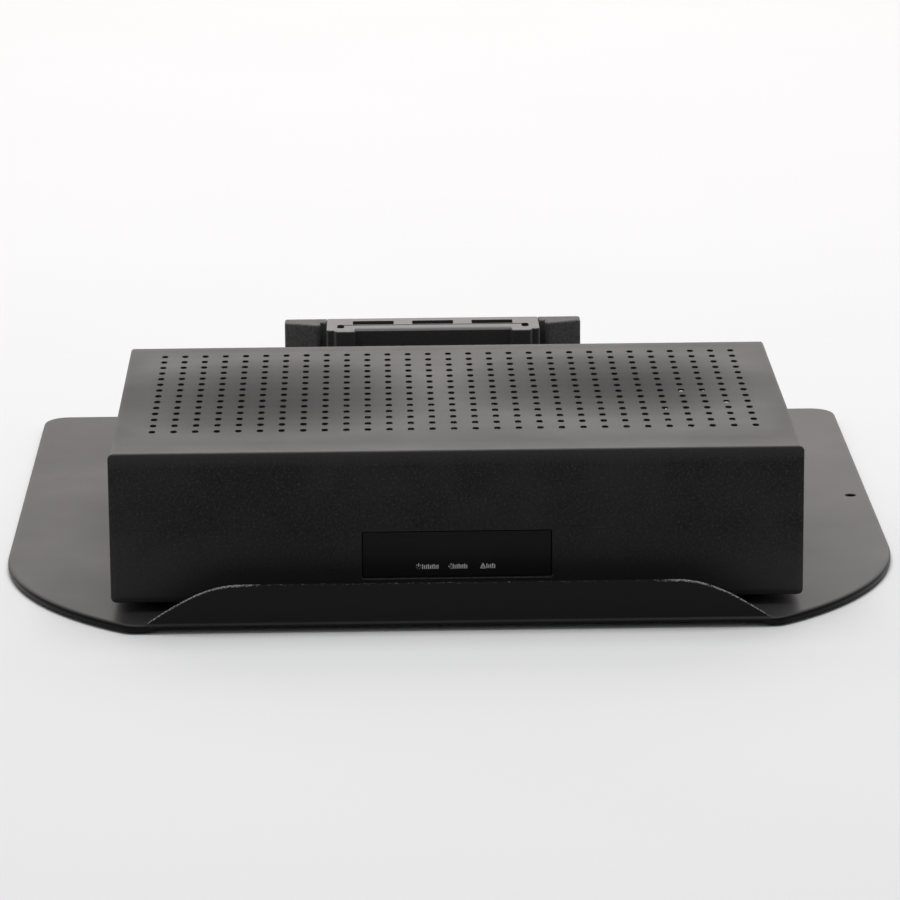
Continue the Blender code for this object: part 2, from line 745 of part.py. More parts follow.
def make_power_supply():
    """The power board with its transformer and reservoir capacitor, the inlet and the rocker switch."""
    top = BOARD_Z + BOARD
    board = piece(
        "power_board", block((-0.150, 0.072, BOARD_Z), (-0.066, 0.1820, top)), solder_mask, recorder
    )
    cut(board, *[rod("z", place, 0.0016, 0.0, 0.02, 8) for place in power_board_bosses()])
    low = top + GAP
    winding = block((-0.118, 0.110, low), (-0.090, 0.134, low + 0.022))
    core = piece("transformer", winding, copper_wire, recorder)
    join(core, block((-0.121, 0.117, low + 0.001), (-0.087, 0.127, low + 0.021)))
    can = turned("z", (-0.135, 0.118), [
        (0.0085, low), (0.0090, low + 0.0008), (0.0090, low + 0.0020), (0.0085, low + 0.0028),
        (0.0090, low + 0.0036), (0.0090, low + 0.0290), (0.0082, low + 0.0300),
    ], 20)
    piece("reservoir_capacitor", can, capacitor_sleeve, recorder)
    x, width, bottom, high = INLET
    outer = REAR_PANEL_Y + CASE_SHEET
    middle = (bottom + high) / 2
    inlet = piece(
        "mains_inlet",
        block((x - width / 2, outer - 0.0180, bottom), (x + width / 2, outer + 0.0012, high)),
        moulding, recorder,
    )
    recess = rounded_rectangle((x, middle), 0.0170, 0.0086, 0.0042, 3)
    cut(inlet, prism(recess, "y", outer - 0.0120, outer + 0.01))
    pins = [
        rod("y", (x + side * 0.0043, middle), 0.0012, outer - 0.014, outer - 0.0025, 8)
        for side in (-1, 1)
    ]
    join(inlet, *pins)
    make_rocker_switch()


def make_rocker_switch():
    """The switch body, snapped into the rear panel, and the paddle that rocks in it."""
    x, width, bottom, high = SWITCH
    outer = REAR_PANEL_Y + CASE_SHEET
    body = piece(
        "switch_body",
        block((x - width / 2, outer - 0.0160, bottom), (x + width / 2, outer + 0.0006, high)),
        moulding, recorder,
    )
    well = block((x - 0.0048, outer - 0.0095, bottom + 0.0018), (x + 0.0048, outer + 0.01, high - 0.0018))
    cut(body, well)
    reach = 0.0068
    face = 0.0052
    crown = 0.0038
    back = 0.0045
    paddle = [(-reach, 0.0), (-reach, face), (0.0, crown), (reach, face), (reach, 0.0), (0.0, -back)]
    outline = [(ROCKER_PIVOT[1] + rise, ROCKER_PIVOT[2] + across) for across, rise in paddle]
    shape = prism(outline, "x", x - 0.0043, x + 0.0043)
    turned_about(shape, Vector(ROCKER_PIVOT), "X", ROCKER_TILT)
    piece("rocker", shape, moulding, recorder, ROCKER_PIVOT)


# ---------------------------------------------------------------- drive


def drive_point(x, y, z):
    return (DRIVE_LOW[0] + x, DRIVE_LOW[1] + y, DRIVE_LOW[2] + z)


DISK_RADIUS = 0.0475
DISK_LEVELS = (0.0085, 0.0125)
DISK_SHEET = 0.0013
HUB_RADIUS = 0.0155
ARM_LEVEL = 0.0155


def make_drive():
    """The hard drive: cast base, lid, disk stack and head arm, on a bridge over the boards."""
    length, width = DRIVE_LENGTH, DRIVE_WIDTH
    base_top = DRIVE_HEIGHT - 0.0015
    base = piece(
        "drive_base", block(drive_point(0, 0, 0), drive_point(length, width, base_top)), cast_alloy, recorder
    )
    spin = drive_point(*SPINDLE, 0)
    pocket = rod("z", spin[:2], DISK_RADIUS + 0.0012, drive_point(0, 0, 0.006)[2], 0.08, 32)
    bay = block(drive_point(0.060, 0.0060, 0.006), drive_point(0.1400, 0.0950, 0.06))
    cut(base, pocket)
    cut(base, bay)
    lid = block(drive_point(0, 0, base_top + GAP), drive_point(length, width, DRIVE_HEIGHT))
    piece("drive_lid", lid, bare_steel, recorder)
    low = DRIVE_LOW[2]
    profile = [(HUB_RADIUS, low + 0.0064)]
    for level in DISK_LEVELS:
        profile += [
            (HUB_RADIUS, low + level), (DISK_RADIUS, low + level),
            (DISK_RADIUS, low + level + DISK_SHEET), (HUB_RADIUS, low + level + DISK_SHEET),
        ]
    profile += [(HUB_RADIUS - 0.003, low + 0.0150)]
    piece("drive_disks", turned("z", spin[:2], profile, 36), mirror_disk, recorder, spin)
    make_head_arm()
    make_drive_bridge()


def make_head_arm():
    """The arm that carries the heads. It is parked beside the disks and swings in over them."""
    pivot = drive_point(*ARM_PIVOT, 0)
    low = DRIVE_LOW[2]
    barrel = turned("z", pivot[:2], [(0.0060, low + 0.0066), (0.0060, low + 0.0205)], 16)
    arm = piece("drive_head_arm", barrel, cast_alloy, recorder, pivot)
    to_tip = math.radians(PARKED_ARM_DEG)
    tip_reach = 0.0600
    near_side = [(0.002, -0.0050), (0.035, -0.0026), (tip_reach, -0.0012)]
    blade = near_side + [(a, -b) for a, b in reversed(near_side)]
    coil = [(-0.003, -0.0055), (-0.003, 0.0055), (-0.0190, 0.0120), (-0.0235, 0.0), (-0.0190, -0.0120)]
    for outline, bottom, top in ((blade, ARM_LEVEL, ARM_LEVEL + 0.0016), (coil, 0.0105, 0.0165)):
        turned_outline = [
            (pivot[0] + a * math.cos(to_tip) - b * math.sin(to_tip),
             pivot[1] + a * math.sin(to_tip) + b * math.cos(to_tip))
            for a, b in outline
        ]
        join(arm, prism(turned_outline, "z", low + bottom, low + top))


PARKED_ARM_DEG = 118.0


def make_drive_bridge():
    """The folded bridge that carries the drive over the boards, on feet on the tray."""
    left = DRIVE_LOW[0] - 0.004
    right = DRIVE_LOW[0] + DRIVE_LENGTH + 0.004
    top = DRIVE_LOW[2] - GAP
    thick = 0.0012
    stand = CASE_SHEET + GAP
    toe = 0.009
    outline = [
        (left - toe, stand), (left + thick, stand), (left + thick, top - thick),
        (right - thick, top - thick), (right - thick, stand), (right + toe, stand),
        (right + toe, stand + thick), (right, stand + thick), (right, top),
        (left, top), (left, stand + thick), (left - toe, stand + thick),
    ]
    bridge = piece(
        "drive_bridge", prism(outline, "y", DRIVE_LOW[1] + 0.004, 0.0690), bare_steel, recorder
    )
    join(bridge, block((left, 0.0685, top - thick), (right, DRIVE_LOW[1] + DRIVE_WIDTH, top)))


def make_data_cable():
    """The flat data cable from the drive's rear end down to the main board."""
    end = DRIVE_LOW[0] + DRIVE_LENGTH
    thick = 0.0016
    centre_line = [
        (end + GAP, 0.046), (end + 0.008, 0.046), (end + 0.0130, 0.043), (end + 0.0150, 0.037),
        (end + 0.0150, 0.0200), (end + 0.0150, BOARD_Z + BOARD + 0.0006),
    ]
    outer, inner = [], []
    for i, (x, z) in enumerate(centre_line):
        before = Vector(centre_line[max(i - 1, 0)])
        after = Vector(centre_line[min(i + 1, len(centre_line) - 1)])
        aside = (after - before).normalized().orthogonal() * thick / 2
        outer.append((x - aside.x, z - aside.y))
        inner.append((x + aside.x, z + aside.y))
    piece("drive_cable", prism(outer + inner[::-1], "y", 0.088, 0.096), cable_red, recorder)


# ---------------------------------------------------------------- fan


def make_fan():
    """The fan behind the rear panel's outlet: a square frame with a spider, and the bladed rotor."""
    rear = REAR_PANEL_Y - GAP
    front = rear - FAN_DEPTH
    half = FAN_SIDE / 2
    frame = piece(
        "fan_frame",
        prism(rounded_rectangle((FAN_X, FAN_Z), FAN_SIDE, FAN_SIDE, 0.003, 2), "y", front, rear),
        moulding, recorder,
    )
    bore = rod("y", (FAN_X, FAN_Z), half - 0.0012, front - 0.005, rear + 0.005, 32)
    cut(frame, bore)
    seat = turned("y", (FAN_X, FAN_Z), [(0.0085, rear - 0.0016), (0.0085, rear)], 16)
    spokes = []
    for i in range(3):
        turn = QUARTER_TURN + i * 2 * HALF_TURN / 3
        near_hub = (FAN_X + 0.006, rear - 0.0016, FAN_Z - 0.0010)
        spoke = block(near_hub, (FAN_X + half - 0.0005, rear, FAN_Z + 0.0010))
        spokes.append(turned_about(spoke, Vector((FAN_X, rear, FAN_Z)), "Y", turn))
    join(frame, seat)
    for spoke in spokes:
        join(frame, spoke)
    hub_rear = rear - 0.0016 - GAP
    hub_profile = [(0.0072, front + 0.0006), (0.0084, front + 0.0016), (0.0084, hub_rear)]
    hub = turned("y", (FAN_X, FAN_Z), hub_profile, 16)
    centre = (FAN_X, (front + rear) / 2, FAN_Z)
    rotor = piece("fan_rotor", hub, moulding, recorder, centre)
    blades = 7
    for i in range(blades):
        outline = [(0.0070, -0.0030), (0.0177, -0.0034), (0.0177, -0.0024), (0.0070, -0.0018)]
        near = [(FAN_X + a, front + 0.0014, FAN_Z + u) for a, u in outline]
        far = [(FAN_X + a, hub_rear - 0.0004, FAN_Z + u + 0.0055) for a, u in outline]
        blade = turned_about(lofted([near, far]), Vector(centre), "Y", i * 2 * HALF_TURN / blades)
        join(rotor, blade)


# ---------------------------------------------------------------- assembly

make_base_plate()
make_pads()
make_bracket()
make_case()
make_rear_panel()
make_front()
make_feet()
make_front_board()
make_ribbon()
make_main_board()
make_rear_sockets()
make_power_supply()
make_drive()
make_data_cable()
make_fan()
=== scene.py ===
# %% [markdown]
# # A compact video recorder on its carrier base
#
# The object is a flat black recorder standing on a wide pressed-steel plate, with a moulded bracket
# behind it. The engineering model already exists: every solid, joint and size is fixed in it. This
# lesson dresses that model. Each visible solid gets a finer mesh or a better finish, and nothing is
# moved or resized.

import math
import random

import bmesh
import bpy
from mathutils import Matrix, Vector


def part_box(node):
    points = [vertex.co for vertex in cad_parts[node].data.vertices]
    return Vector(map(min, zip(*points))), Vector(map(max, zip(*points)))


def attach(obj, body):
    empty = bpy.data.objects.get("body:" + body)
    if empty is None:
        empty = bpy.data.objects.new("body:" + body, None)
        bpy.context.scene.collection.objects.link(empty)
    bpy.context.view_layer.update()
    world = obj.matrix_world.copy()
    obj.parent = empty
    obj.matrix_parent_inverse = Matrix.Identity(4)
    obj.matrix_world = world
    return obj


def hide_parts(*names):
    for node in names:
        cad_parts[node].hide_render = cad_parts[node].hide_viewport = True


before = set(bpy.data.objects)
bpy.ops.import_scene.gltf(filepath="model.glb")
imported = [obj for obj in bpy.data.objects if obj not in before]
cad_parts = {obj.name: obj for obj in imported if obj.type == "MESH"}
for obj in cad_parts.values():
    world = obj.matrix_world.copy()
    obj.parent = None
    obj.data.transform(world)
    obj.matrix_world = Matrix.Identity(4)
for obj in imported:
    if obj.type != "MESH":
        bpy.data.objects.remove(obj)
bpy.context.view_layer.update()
scene = bpy.context.scene
scene.view_settings.view_transform = "Standard"

# %% [markdown]
# ## Where things are
#
# Positions are read from the boxes of the solids, so that the finer meshes land exactly on them.
# The recorder's own corner, at the bottom middle of its front, is the handiest point to measure
# from, and the bracket has one at the middle of its rear.

# %% Reference points and small number helpers
HALF_TURN = math.pi
QUARTER_TURN = math.pi / 2
SHADE_ANGLE = math.radians(32)
GAP = 0.0003

bezel_low, bezel_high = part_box("front_bezel")
cover_low, cover_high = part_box("top_cover")
case_width = cover_high.x - cover_low.x
case_height = bezel_high.z - bezel_low.z
case_origin = Vector(((bezel_low.x + bezel_high.x) / 2, bezel_low.y, bezel_low.z))

socket_low, socket_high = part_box("bracket_socket")
foot_low, foot_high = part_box("bracket_foot")
bracket_origin = Vector(((socket_low.x + socket_high.x) / 2, socket_high.y, foot_low.z))

plate_low, plate_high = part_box("base_plate")
print("case is", round(case_width, 4), "wide; bracket stands at", tuple(round(v, 4) for v in bracket_origin))


def in_case(x, y, z):
    """A point of the recorder in the frame's own coordinates."""
    return case_origin + Vector((x, y, z))


def smooth_step(value):
    """0 below 0, 1 above 1, and a gentle S between."""
    share = min(max(value, 0.0), 1.0)
    return share * share * (3 - 2 * share)


# %% [markdown]
# ## Shapes from rings
#
# Most parts here are a section carried along a path: a folded sheet, a turned barrel, a moulded
# frame. Skinning a stack of rings with equally many points covers all of these, keeps the faces
# regular, and gives a closed solid with a face on each end.

# %% Ring skinning


def skinned(rings, closed=False):
    """A closed shape over rings of equally many points. `closed` joins the last ring to the first."""
    shape = bmesh.new()
    loops = [[shape.verts.new(point) for point in ring] for ring in rings]
    pairs = list(zip(loops, loops[1:])) + ([(loops[-1], loops[0])] if closed else [])
    for near, far in pairs:
        for i in range(len(near)):
            j = (i + 1) % len(near)
            shape.faces.new((near[i], near[j], far[j], far[i]))
    if not closed:
        shape.faces.new(loops[0])
        shape.faces.new(loops[-1])
    bmesh.ops.recalc_face_normals(shape, faces=shape.faces)
    return shape


def along(axis, across, up, level):
    """The point (across, up) of a plane square to `axis`, at `level` along it."""
    return Vector({"x": (level, across, up), "y": (across, level, up), "z": (across, up, level)}[axis])


def prism(outline, axis, start, end):
    """An outline of (across, up) points, drawn square to an axis and pulled along it."""
    return skinned([[along(axis, a, u, level) for a, u in outline] for level in (start, end)])


def block(low, high):
    """A cuboid between two corners."""
    corners = [(low[0], low[1]), (high[0], low[1]), (high[0], high[1]), (low[0], high[1])]
    return prism(corners, "z", low[2], high[2])


print("a block has", len(block((0, 0, 0), (1, 1, 1)).faces), "faces")

# %% Outlines and turned shapes


def arc(centre, radius, start, end, steps):
    """Points of an arc, both ends included."""
    turns = [start + (end - start) * i / steps for i in range(steps + 1)]
    return [(centre[0] + radius * math.cos(t), centre[1] + radius * math.sin(t)) for t in turns]


def circle(centre, radius, sides):
    """Points of a whole circle."""
    return arc(centre, radius, 0, 2 * HALF_TURN * (sides - 1) / sides, sides - 1)


def rounded(centre, width, height, radius, steps=6):
    """A rectangle's outline with round corners."""
    points = []
    for quarter, (side, rise) in enumerate([(1, 1), (-1, 1), (-1, -1), (1, -1)]):
        corner = (centre[0] + side * (width / 2 - radius), centre[1] + rise * (height / 2 - radius))
        points += arc(corner, radius, quarter * QUARTER_TURN, (quarter + 1) * QUARTER_TURN, steps)
    return points


def turned(axis, centre, profile, sides=40):
    """A lathe shape: `profile` lists (radius, level) from one end of the axis to the other."""
    return skinned([
        [along(axis, a, u, level) for a, u in circle(centre, radius, sides)]
        for radius, level in profile
    ])


def merged(*shapes):
    """Several shapes in one mesh."""
    whole = bmesh.new()
    scratch = bpy.data.meshes.new("scratch")
    for shape in shapes:
        shape.to_mesh(scratch)
        shape.free()
        whole.from_mesh(scratch)
    bpy.data.meshes.remove(scratch)
    return whole


print("a rounded rectangle has", len(rounded((0, 0), 2, 1, 0.1)), "points")

# %% [markdown]
# ## From a shape to a finished piece
#
# Real edges are never razor sharp: a folded sheet or a moulding has a small radius that catches the
# light, and that thin bright line is most of what makes a dark object readable. A Bevel modifier on
# the sharp edges gives it. Openings are cut first, with a Boolean, so that their edges are rounded
# too. The result is turned into a plain mesh, so that no modifier is left to go wrong later.

# %% Bare objects and their modifiers
CUT_SOLVER = "EXACT"


def bare_object(name, shape):
    """A linked mesh object from a bmesh."""
    mesh = bpy.data.meshes.new(name)
    shape.to_mesh(mesh)
    shape.free()
    made = bpy.data.objects.new(name, mesh)
    scene.collection.objects.link(made)
    return made


def settled(made):
    """The object with its modifiers turned into plain mesh."""
    bpy.context.view_layer.update()
    depsgraph = bpy.context.evaluated_depsgraph_get()
    plain = bpy.data.meshes.new_from_object(made.evaluated_get(depsgraph))
    made.modifiers.clear()
    made.data = plain
    return made


def carved(made, *cutters):
    """The object with shapes cut out of it."""
    cutter = bare_object("cutter", merged(*cutters))
    step = made.modifiers.new("cut", "BOOLEAN")
    step.operation = "DIFFERENCE"
    step.solver = CUT_SOLVER
    step.object = cutter
    settled(made)
    bpy.data.objects.remove(cutter)
    return made


def edged(made, width, segments=3, angle=40):
    """The object with its sharp edges rounded by `width`."""
    step = made.modifiers.new("edges", "BEVEL")
    step.width = width
    step.segments = segments
    step.limit_method = "ANGLE"
    step.angle_limit = math.radians(angle)
    step.use_clamp_overlap = True
    return settled(made)


print("openings are cut by the", CUT_SOLVER, "solver")

# %% Finished pieces
made_pieces = []


def finished(made, coat, slot, body, *nodes):
    """Shade, coat and mount a piece on its body, in place of the nodes that it stands for."""
    made.data.shade_smooth()
    made.data.set_sharp_from_angle(angle=SHADE_ANGLE)
    evened = made.modifiers.new("even shading", "WEIGHTED_NORMAL")
    evened.keep_sharp = True
    settled(made)
    made.data.materials.clear()
    made.data.materials.append(coat.material)
    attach(made, body)
    if nodes:
        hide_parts(*nodes)
    made_pieces.append(made)
    return made


def piece(name, shape, coat, slot, body, *nodes, cut=(), edge=None):
    """A finished piece straight from its shape. `cut` lists the shapes that are cut out of it, and
    `edge` says how its sharp edges are rounded: (width, steps, least angle in degrees)."""
    made = bare_object(name, shape)
    if cut:
        carved(made, *cut)
    if edge:
        edged(made, *edge)
    return finished(made, coat, slot, body, *nodes)


print("normals are split where faces meet at more than", round(math.degrees(SHADE_ANGLE)), "degrees")

# %% [markdown]
# ## Finishes
#
# Almost everything outside is black, so the finishes differ in texture and gloss instead of colour.
# One recipe serves them all. A fine noise pushes the surface up and down as a grain. A second,
# broader noise makes the roughness drift, as handling and dust do. A third one shifts the colour a
# little. Sizes are given in millimetres of the real surface.

# %% A plain finish
MM_PER_METRE = 1000.0
made_finishes = []


class PlainFinish:
    """One material with its shader, and what every recipe needs to add nodes to it."""

    def __init__(self, name, colour, roughness, metallic=0.0):
        self.material = bpy.data.materials.new(name)
        self.material.use_nodes = True
        self.tree = self.material.node_tree
        self.shader = self.tree.nodes["Principled BSDF"]
        self.set("Base Color", (*colour, 1.0))
        self.set("Roughness", roughness)
        self.set("Metallic", metallic)
        self.colour = colour
        self.place = self.add("ShaderNodeTexCoord").outputs["Object"]
        self.normal = None
        made_finishes.append(name)

    def add(self, kind, **settings):
        node = self.tree.nodes.new(kind)
        for key, value in settings.items():
            setattr(node, key, value)
        return node

    def link(self, start, end):
        self.tree.links.new(start, end)

    def set(self, socket, value):
        self.shader.inputs[socket].default_value = value
        return self

    def noise(self, size_mm, detail=2.0, roughness=0.5, stretch=None):
        """A noise whose features are about `size_mm` across."""
        node = self.add("ShaderNodeTexNoise")
        node.inputs["Scale"].default_value = MM_PER_METRE / size_mm
        node.inputs["Detail"].default_value = detail
        node.inputs["Roughness"].default_value = roughness
        place = self.place
        if stretch:
            mapping = self.add("ShaderNodeMapping")
            mapping.inputs["Scale"].default_value = stretch
            self.link(place, mapping.inputs["Vector"])
            place = mapping.outputs["Vector"]
        self.link(place, node.inputs["Vector"])
        return node.outputs["Fac"]

    def ranged(self, value, low, high, out_low, out_high):
        node = self.add("ShaderNodeMapRange")
        sockets = ("From Min", "From Max", "To Min", "To Max")
        for socket, number in zip(sockets, (low, high, out_low, out_high)):
            node.inputs[socket].default_value = number
        self.link(value, node.inputs["Value"])
        return node.outputs["Result"]

    def mix_colour(self, share, other):
        """Put another colour over what there is, where `share` is above zero."""
        node = self.add("ShaderNodeMix", data_type="RGBA")
        socket = self.shader.inputs["Base Color"]
        if socket.is_linked:
            self.link(socket.links[0].from_socket, node.inputs[6])
        else:
            node.inputs[6].default_value = (*self.colour, 1.0)
        node.inputs[7].default_value = (*other, 1.0)
        self.link(share, node.inputs[0])
        self.link(node.outputs[2], socket)


print("a plain finish can:", [name for name in vars(PlainFinish) if not name.startswith("_")])

# %% Grain, drift, tints and wear


class Finish(PlainFinish):
    """A plain finish with the detail of a real surface. Each call adds one kind of detail."""

    def grain(self, size_mm, depth_mm, strength=1.0, detail=2.0, stretch=None):
        """Raise the surface by a noise. Calls add up."""
        node = self.add("ShaderNodeBump")
        node.inputs["Strength"].default_value = strength
        node.inputs["Distance"].default_value = depth_mm / MM_PER_METRE
        self.link(self.noise(size_mm, detail, stretch=stretch), node.inputs["Height"])
        if self.normal:
            self.link(self.normal, node.inputs["Normal"])
        self.normal = node.outputs["Normal"]
        self.link(self.normal, self.shader.inputs["Normal"])
        return self

    def drift(self, size_mm, low, high, detail=3.0):
        """Let the roughness wander between two values."""
        value = self.ranged(self.noise(size_mm, detail, 0.6), 0.3, 0.7, low, high)
        self.link(value, self.shader.inputs["Roughness"])
        return self

    def tint(self, size_mm, other, low=0.4, high=0.7, detail=3.0, stretch=None):
        """Mix a second colour in by patches."""
        share = self.ranged(self.noise(size_mm, detail, 0.6, stretch), low, high, 0.0, 1.0)
        self.mix_colour(share, other)
        return self

    def rubbed(self, other, low=0.52, high=0.6):
        """A paler colour where edges are worn."""
        point = self.add("ShaderNodeNewGeometry").outputs["Pointiness"]
        self.mix_colour(self.ranged(point, low, high, 0.0, 1.0), other)
        return self

    def graded(self, axis, start, end, other):
        """Fade to another colour between two levels along an axis, in metres."""
        parts = self.add("ShaderNodeSeparateXYZ")
        self.link(self.place, parts.inputs[0])
        self.mix_colour(self.ranged(parts.outputs[axis], start, end, 0.0, 1.0), other)
        return self

    def blotch(self, centre, radii, rougher):
        """A soft round patch that is rougher than the rest, or smoother."""
        mapping = self.add("ShaderNodeMapping")
        mapping.inputs["Scale"].default_value = [1 / r for r in radii]
        mapping.inputs["Location"].default_value = [-c / r for c, r in zip(centre, radii)]
        self.link(self.place, mapping.inputs["Vector"])
        length = self.add("ShaderNodeVectorMath", operation="LENGTH")
        self.link(mapping.outputs["Vector"], length.inputs[0])
        change = self.ranged(length.outputs["Value"], 0.2, 1.0, rougher, 0.0)
        total = self.add("ShaderNodeMath", operation="ADD")
        self.link(self.shader.inputs["Roughness"].links[0].from_socket, total.inputs[0])
        self.link(change, total.inputs[1])
        self.link(total.outputs[0], self.shader.inputs["Roughness"])
        return self

    def highlight_specks(self, attribute, other, size_mm=0.7):
        """Pale specks of painted highlight where a mesh attribute is close to one."""
        marked = self.add("ShaderNodeAttribute", attribute_name=attribute).outputs["Fac"]
        total = self.add("ShaderNodeMath", operation="ADD")
        self.link(self.ranged(marked, 0.93, 1.0, 0.0, 1.0), total.inputs[0])
        self.link(self.ranged(self.noise(size_mm, 3.0, 0.7), 0.3, 0.7, 0.0, 1.0), total.inputs[1])
        self.mix_colour(self.ranged(total.outputs[0], 1.3, 1.55, 0.0, 1.0), other)
        return self


print("detail:", [name for name in vars(Finish) if not name.startswith("_")])

# %% [markdown]
# ### The outer finishes
#
# The plate and the case are steel under a fine satin powder coat: an orange-peel grain well under a
# millimetre, and a satin sheen that turns pale at a flat angle. A low index of refraction keeps the
# faces that are seen square on dark. Two dull patches on the cover are where hands have rubbed it.
# The front and the bracket's posts are moulded plastic with a matt spark-eroded grain, and the
# window is polished.

# %% Steel coats
COAT_IOR = 1.24
DULL_PATCH = 0.3

powder_coat = Finish("black powder coat", (0.0065, 0.0065, 0.0068), 0.4).set("IOR", COAT_IOR)
powder_coat.grain(0.7, 0.02, 0.5).grain(5.0, 0.02, 0.2).drift(70.0, 0.38, 0.43)
powder_coat.tint(40.0, (0.0105, 0.01, 0.01)).rubbed((0.045, 0.044, 0.043))

case_coat = Finish("black case coat", (0.0075, 0.0075, 0.008), 0.38).set("IOR", COAT_IOR)
case_coat.grain(0.6, 0.016, 0.5).grain(4.5, 0.018, 0.2).drift(60.0, 0.36, 0.42)
case_coat.tint(40.0, (0.0105, 0.01, 0.01)).rubbed((0.045, 0.044, 0.043))
case_coat.blotch((-0.085, -0.07, 0.079), (0.085, 0.08, 0.1), DULL_PATCH)
case_coat.blotch((0.078, -0.052, 0.079), (0.085, 0.07, 0.1), DULL_PATCH)

black_steel = Finish("blackened steel", (0.03, 0.03, 0.032), 0.34, 0.9)
black_steel.grain(0.25, 0.006, 0.5).drift(1.5, 0.28, 0.42).tint(1.2, (0.05, 0.048, 0.046))
black_steel.rubbed((0.2, 0.2, 0.2))
print("steel coats:", made_finishes)

# %% Mouldings, prints and rubber


def matt_black(name):
    """The matt, finely speckled black that the front and the small mouldings share."""
    made = Finish(name, (0.012, 0.012, 0.0132), 0.52).set("IOR", COAT_IOR)
    made.grain(0.45, 0.03, 0.8).drift(30.0, 0.48, 0.56).tint(0.9, (0.004, 0.004, 0.0046))
    made.tint(45.0, (0.0165, 0.0165, 0.0178)).tint(1.1, (0.027, 0.027, 0.029), 0.52, 0.68)
    return made


black_moulding = matt_black("black moulding").rubbed((0.035, 0.035, 0.036))

front_foot, front_head = case_origin.z, case_origin.z + case_height
front_moulding = matt_black("front moulding")
# painted light: paler towards the bottom of the face, to lift the shade that the lip and plate throw on it,
# and a painted highlight band along the top edge
front_moulding.graded("Z", front_foot + 0.034, front_foot - 0.004, (0.034, 0.034, 0.036))
front_moulding.graded("Z", front_head - 0.007, front_head, (0.03, 0.03, 0.031))
front_moulding.rubbed((0.035, 0.035, 0.036))

post_moulding = Finish("coarse black moulding", (0.135, 0.13, 0.128), 0.6).set("IOR", 1.2)
post_moulding.grain(0.9, 0.08, 1.0).drift(8.0, 0.52, 0.66).tint(1.4, (0.085, 0.082, 0.081))
post_moulding.tint(1.0, (0.165, 0.16, 0.158), 0.55, 0.7)

gloss_moulding = Finish("semi-gloss moulding", (0.062, 0.061, 0.061), 0.3).set("IOR", 1.31)
gloss_moulding.grain(1.2, 0.006, 0.4).drift(20.0, 0.29, 0.33).tint(1.2, (0.048, 0.047, 0.047))
gloss_moulding.rubbed((0.07, 0.068, 0.066))

smoked_lens = Finish("smoked lens", (0.0185, 0.0185, 0.0187), 0.1).set("IOR", 1.06)
smoked_lens.drift(26.0, 0.08, 0.14).grain(30.0, 0.03, 0.15).tint(22.0, (0.017, 0.017, 0.0172))

pale_print = Finish("pale print", (0.36, 0.36, 0.35), 0.6)
pale_print.grain(0.2, 0.004, 0.4).tint(0.5, (0.24, 0.24, 0.24)).drift(2.0, 0.5, 0.7)

window_print = Finish("window print", (0.92, 0.92, 0.9), 0.6)
window_print.grain(0.2, 0.004, 0.4).tint(0.5, (0.7, 0.7, 0.68)).drift(2.0, 0.5, 0.7)

# painted highlight for the lower edge of the window's opening
lens_rim_highlight = Finish("painted rim highlight", (0.14, 0.14, 0.142), 0.3)
lens_rim_highlight.drift(2.0, 0.24, 0.4).tint(0.8, (0.06, 0.06, 0.062)).grain(0.4, 0.003, 0.3)

rubber = Finish("black rubber", (0.01, 0.01, 0.01), 0.85)
rubber.grain(0.35, 0.03, 0.8).drift(6.0, 0.75, 0.95).tint(9.0, (0.03, 0.029, 0.028))
print("outer finishes:", len(made_finishes))

# %% [markdown]
# ### The inner finishes
#
# Inside, each material is itself again: zinc-plated steel with its spangle, cast alloy, a mirror
# disk, solder mask over copper tracks, moulded chips and nickel-plated shells.

# %% Metals of the inside
zinc_steel = Finish("zinc plated steel", (0.52, 0.53, 0.54), 0.34, 1.0)
zinc_steel.grain(9.0, 0.01, 0.3).drift(7.0, 0.26, 0.42).tint(8.0, (0.6, 0.61, 0.6))
zinc_steel.grain(0.4, 0.004, 0.4, stretch=(0.04, 1.0, 1.0))

cast_alloy = Finish("cast aluminium", (0.56, 0.57, 0.58), 0.42, 1.0)
cast_alloy.grain(0.6, 0.03, 0.7).drift(10.0, 0.36, 0.52).tint(12.0, (0.44, 0.45, 0.46))

disk_mirror = Finish("disk coating", (0.7, 0.7, 0.72), 0.06, 1.0)
disk_mirror.drift(30.0, 0.04, 0.09).grain(40.0, 0.002, 0.1)

nickel = Finish("nickel plate", (0.6, 0.58, 0.54), 0.24, 1.0)
nickel.grain(0.5, 0.005, 0.5).drift(3.0, 0.18, 0.32).tint(4.0, (0.5, 0.48, 0.45))

gold = Finish("gold flash", (0.86, 0.62, 0.24), 0.22, 1.0)
gold.grain(0.3, 0.003, 0.4).drift(1.0, 0.18, 0.3)

black_anodised = Finish("black anodised", (0.024, 0.024, 0.027), 0.44, 0.8)
black_anodised.grain(0.3, 0.006, 0.5, stretch=(1.0, 0.05, 1.0)).drift(5.0, 0.38, 0.52)
print("with the inner metals:", len(made_finishes))

# %% Resins, tapes and cables of the inside
chip_resin = Finish("chip resin", (0.018, 0.018, 0.02), 0.55)
chip_resin.grain(0.15, 0.008, 0.7).drift(4.0, 0.48, 0.62).tint(5.0, (0.03, 0.03, 0.032))

white_insulator = Finish("white insulator", (0.72, 0.71, 0.67), 0.4)
white_insulator.grain(0.4, 0.006, 0.5).drift(2.0, 0.34, 0.48).tint(3.0, (0.62, 0.6, 0.55))

winding_tape = Finish("winding tape", (0.7, 0.5, 0.07), 0.42)
winding_tape.grain(0.6, 0.02, 0.6, stretch=(1.0, 1.0, 0.15)).drift(4.0, 0.35, 0.5)
winding_tape.tint(5.0, (0.58, 0.4, 0.05))

capacitor_sleeve = Finish("capacitor sleeve", (0.03, 0.04, 0.11), 0.32)
capacitor_sleeve.grain(1.2, 0.01, 0.4).drift(5.0, 0.26, 0.4).tint(6.0, (0.04, 0.05, 0.13))

led_resin = Finish("indicator resin", (0.7, 0.74, 0.7), 0.14)
led_resin.grain(0.8, 0.004, 0.4).drift(1.5, 0.1, 0.2).tint(1.5, (0.6, 0.66, 0.6))

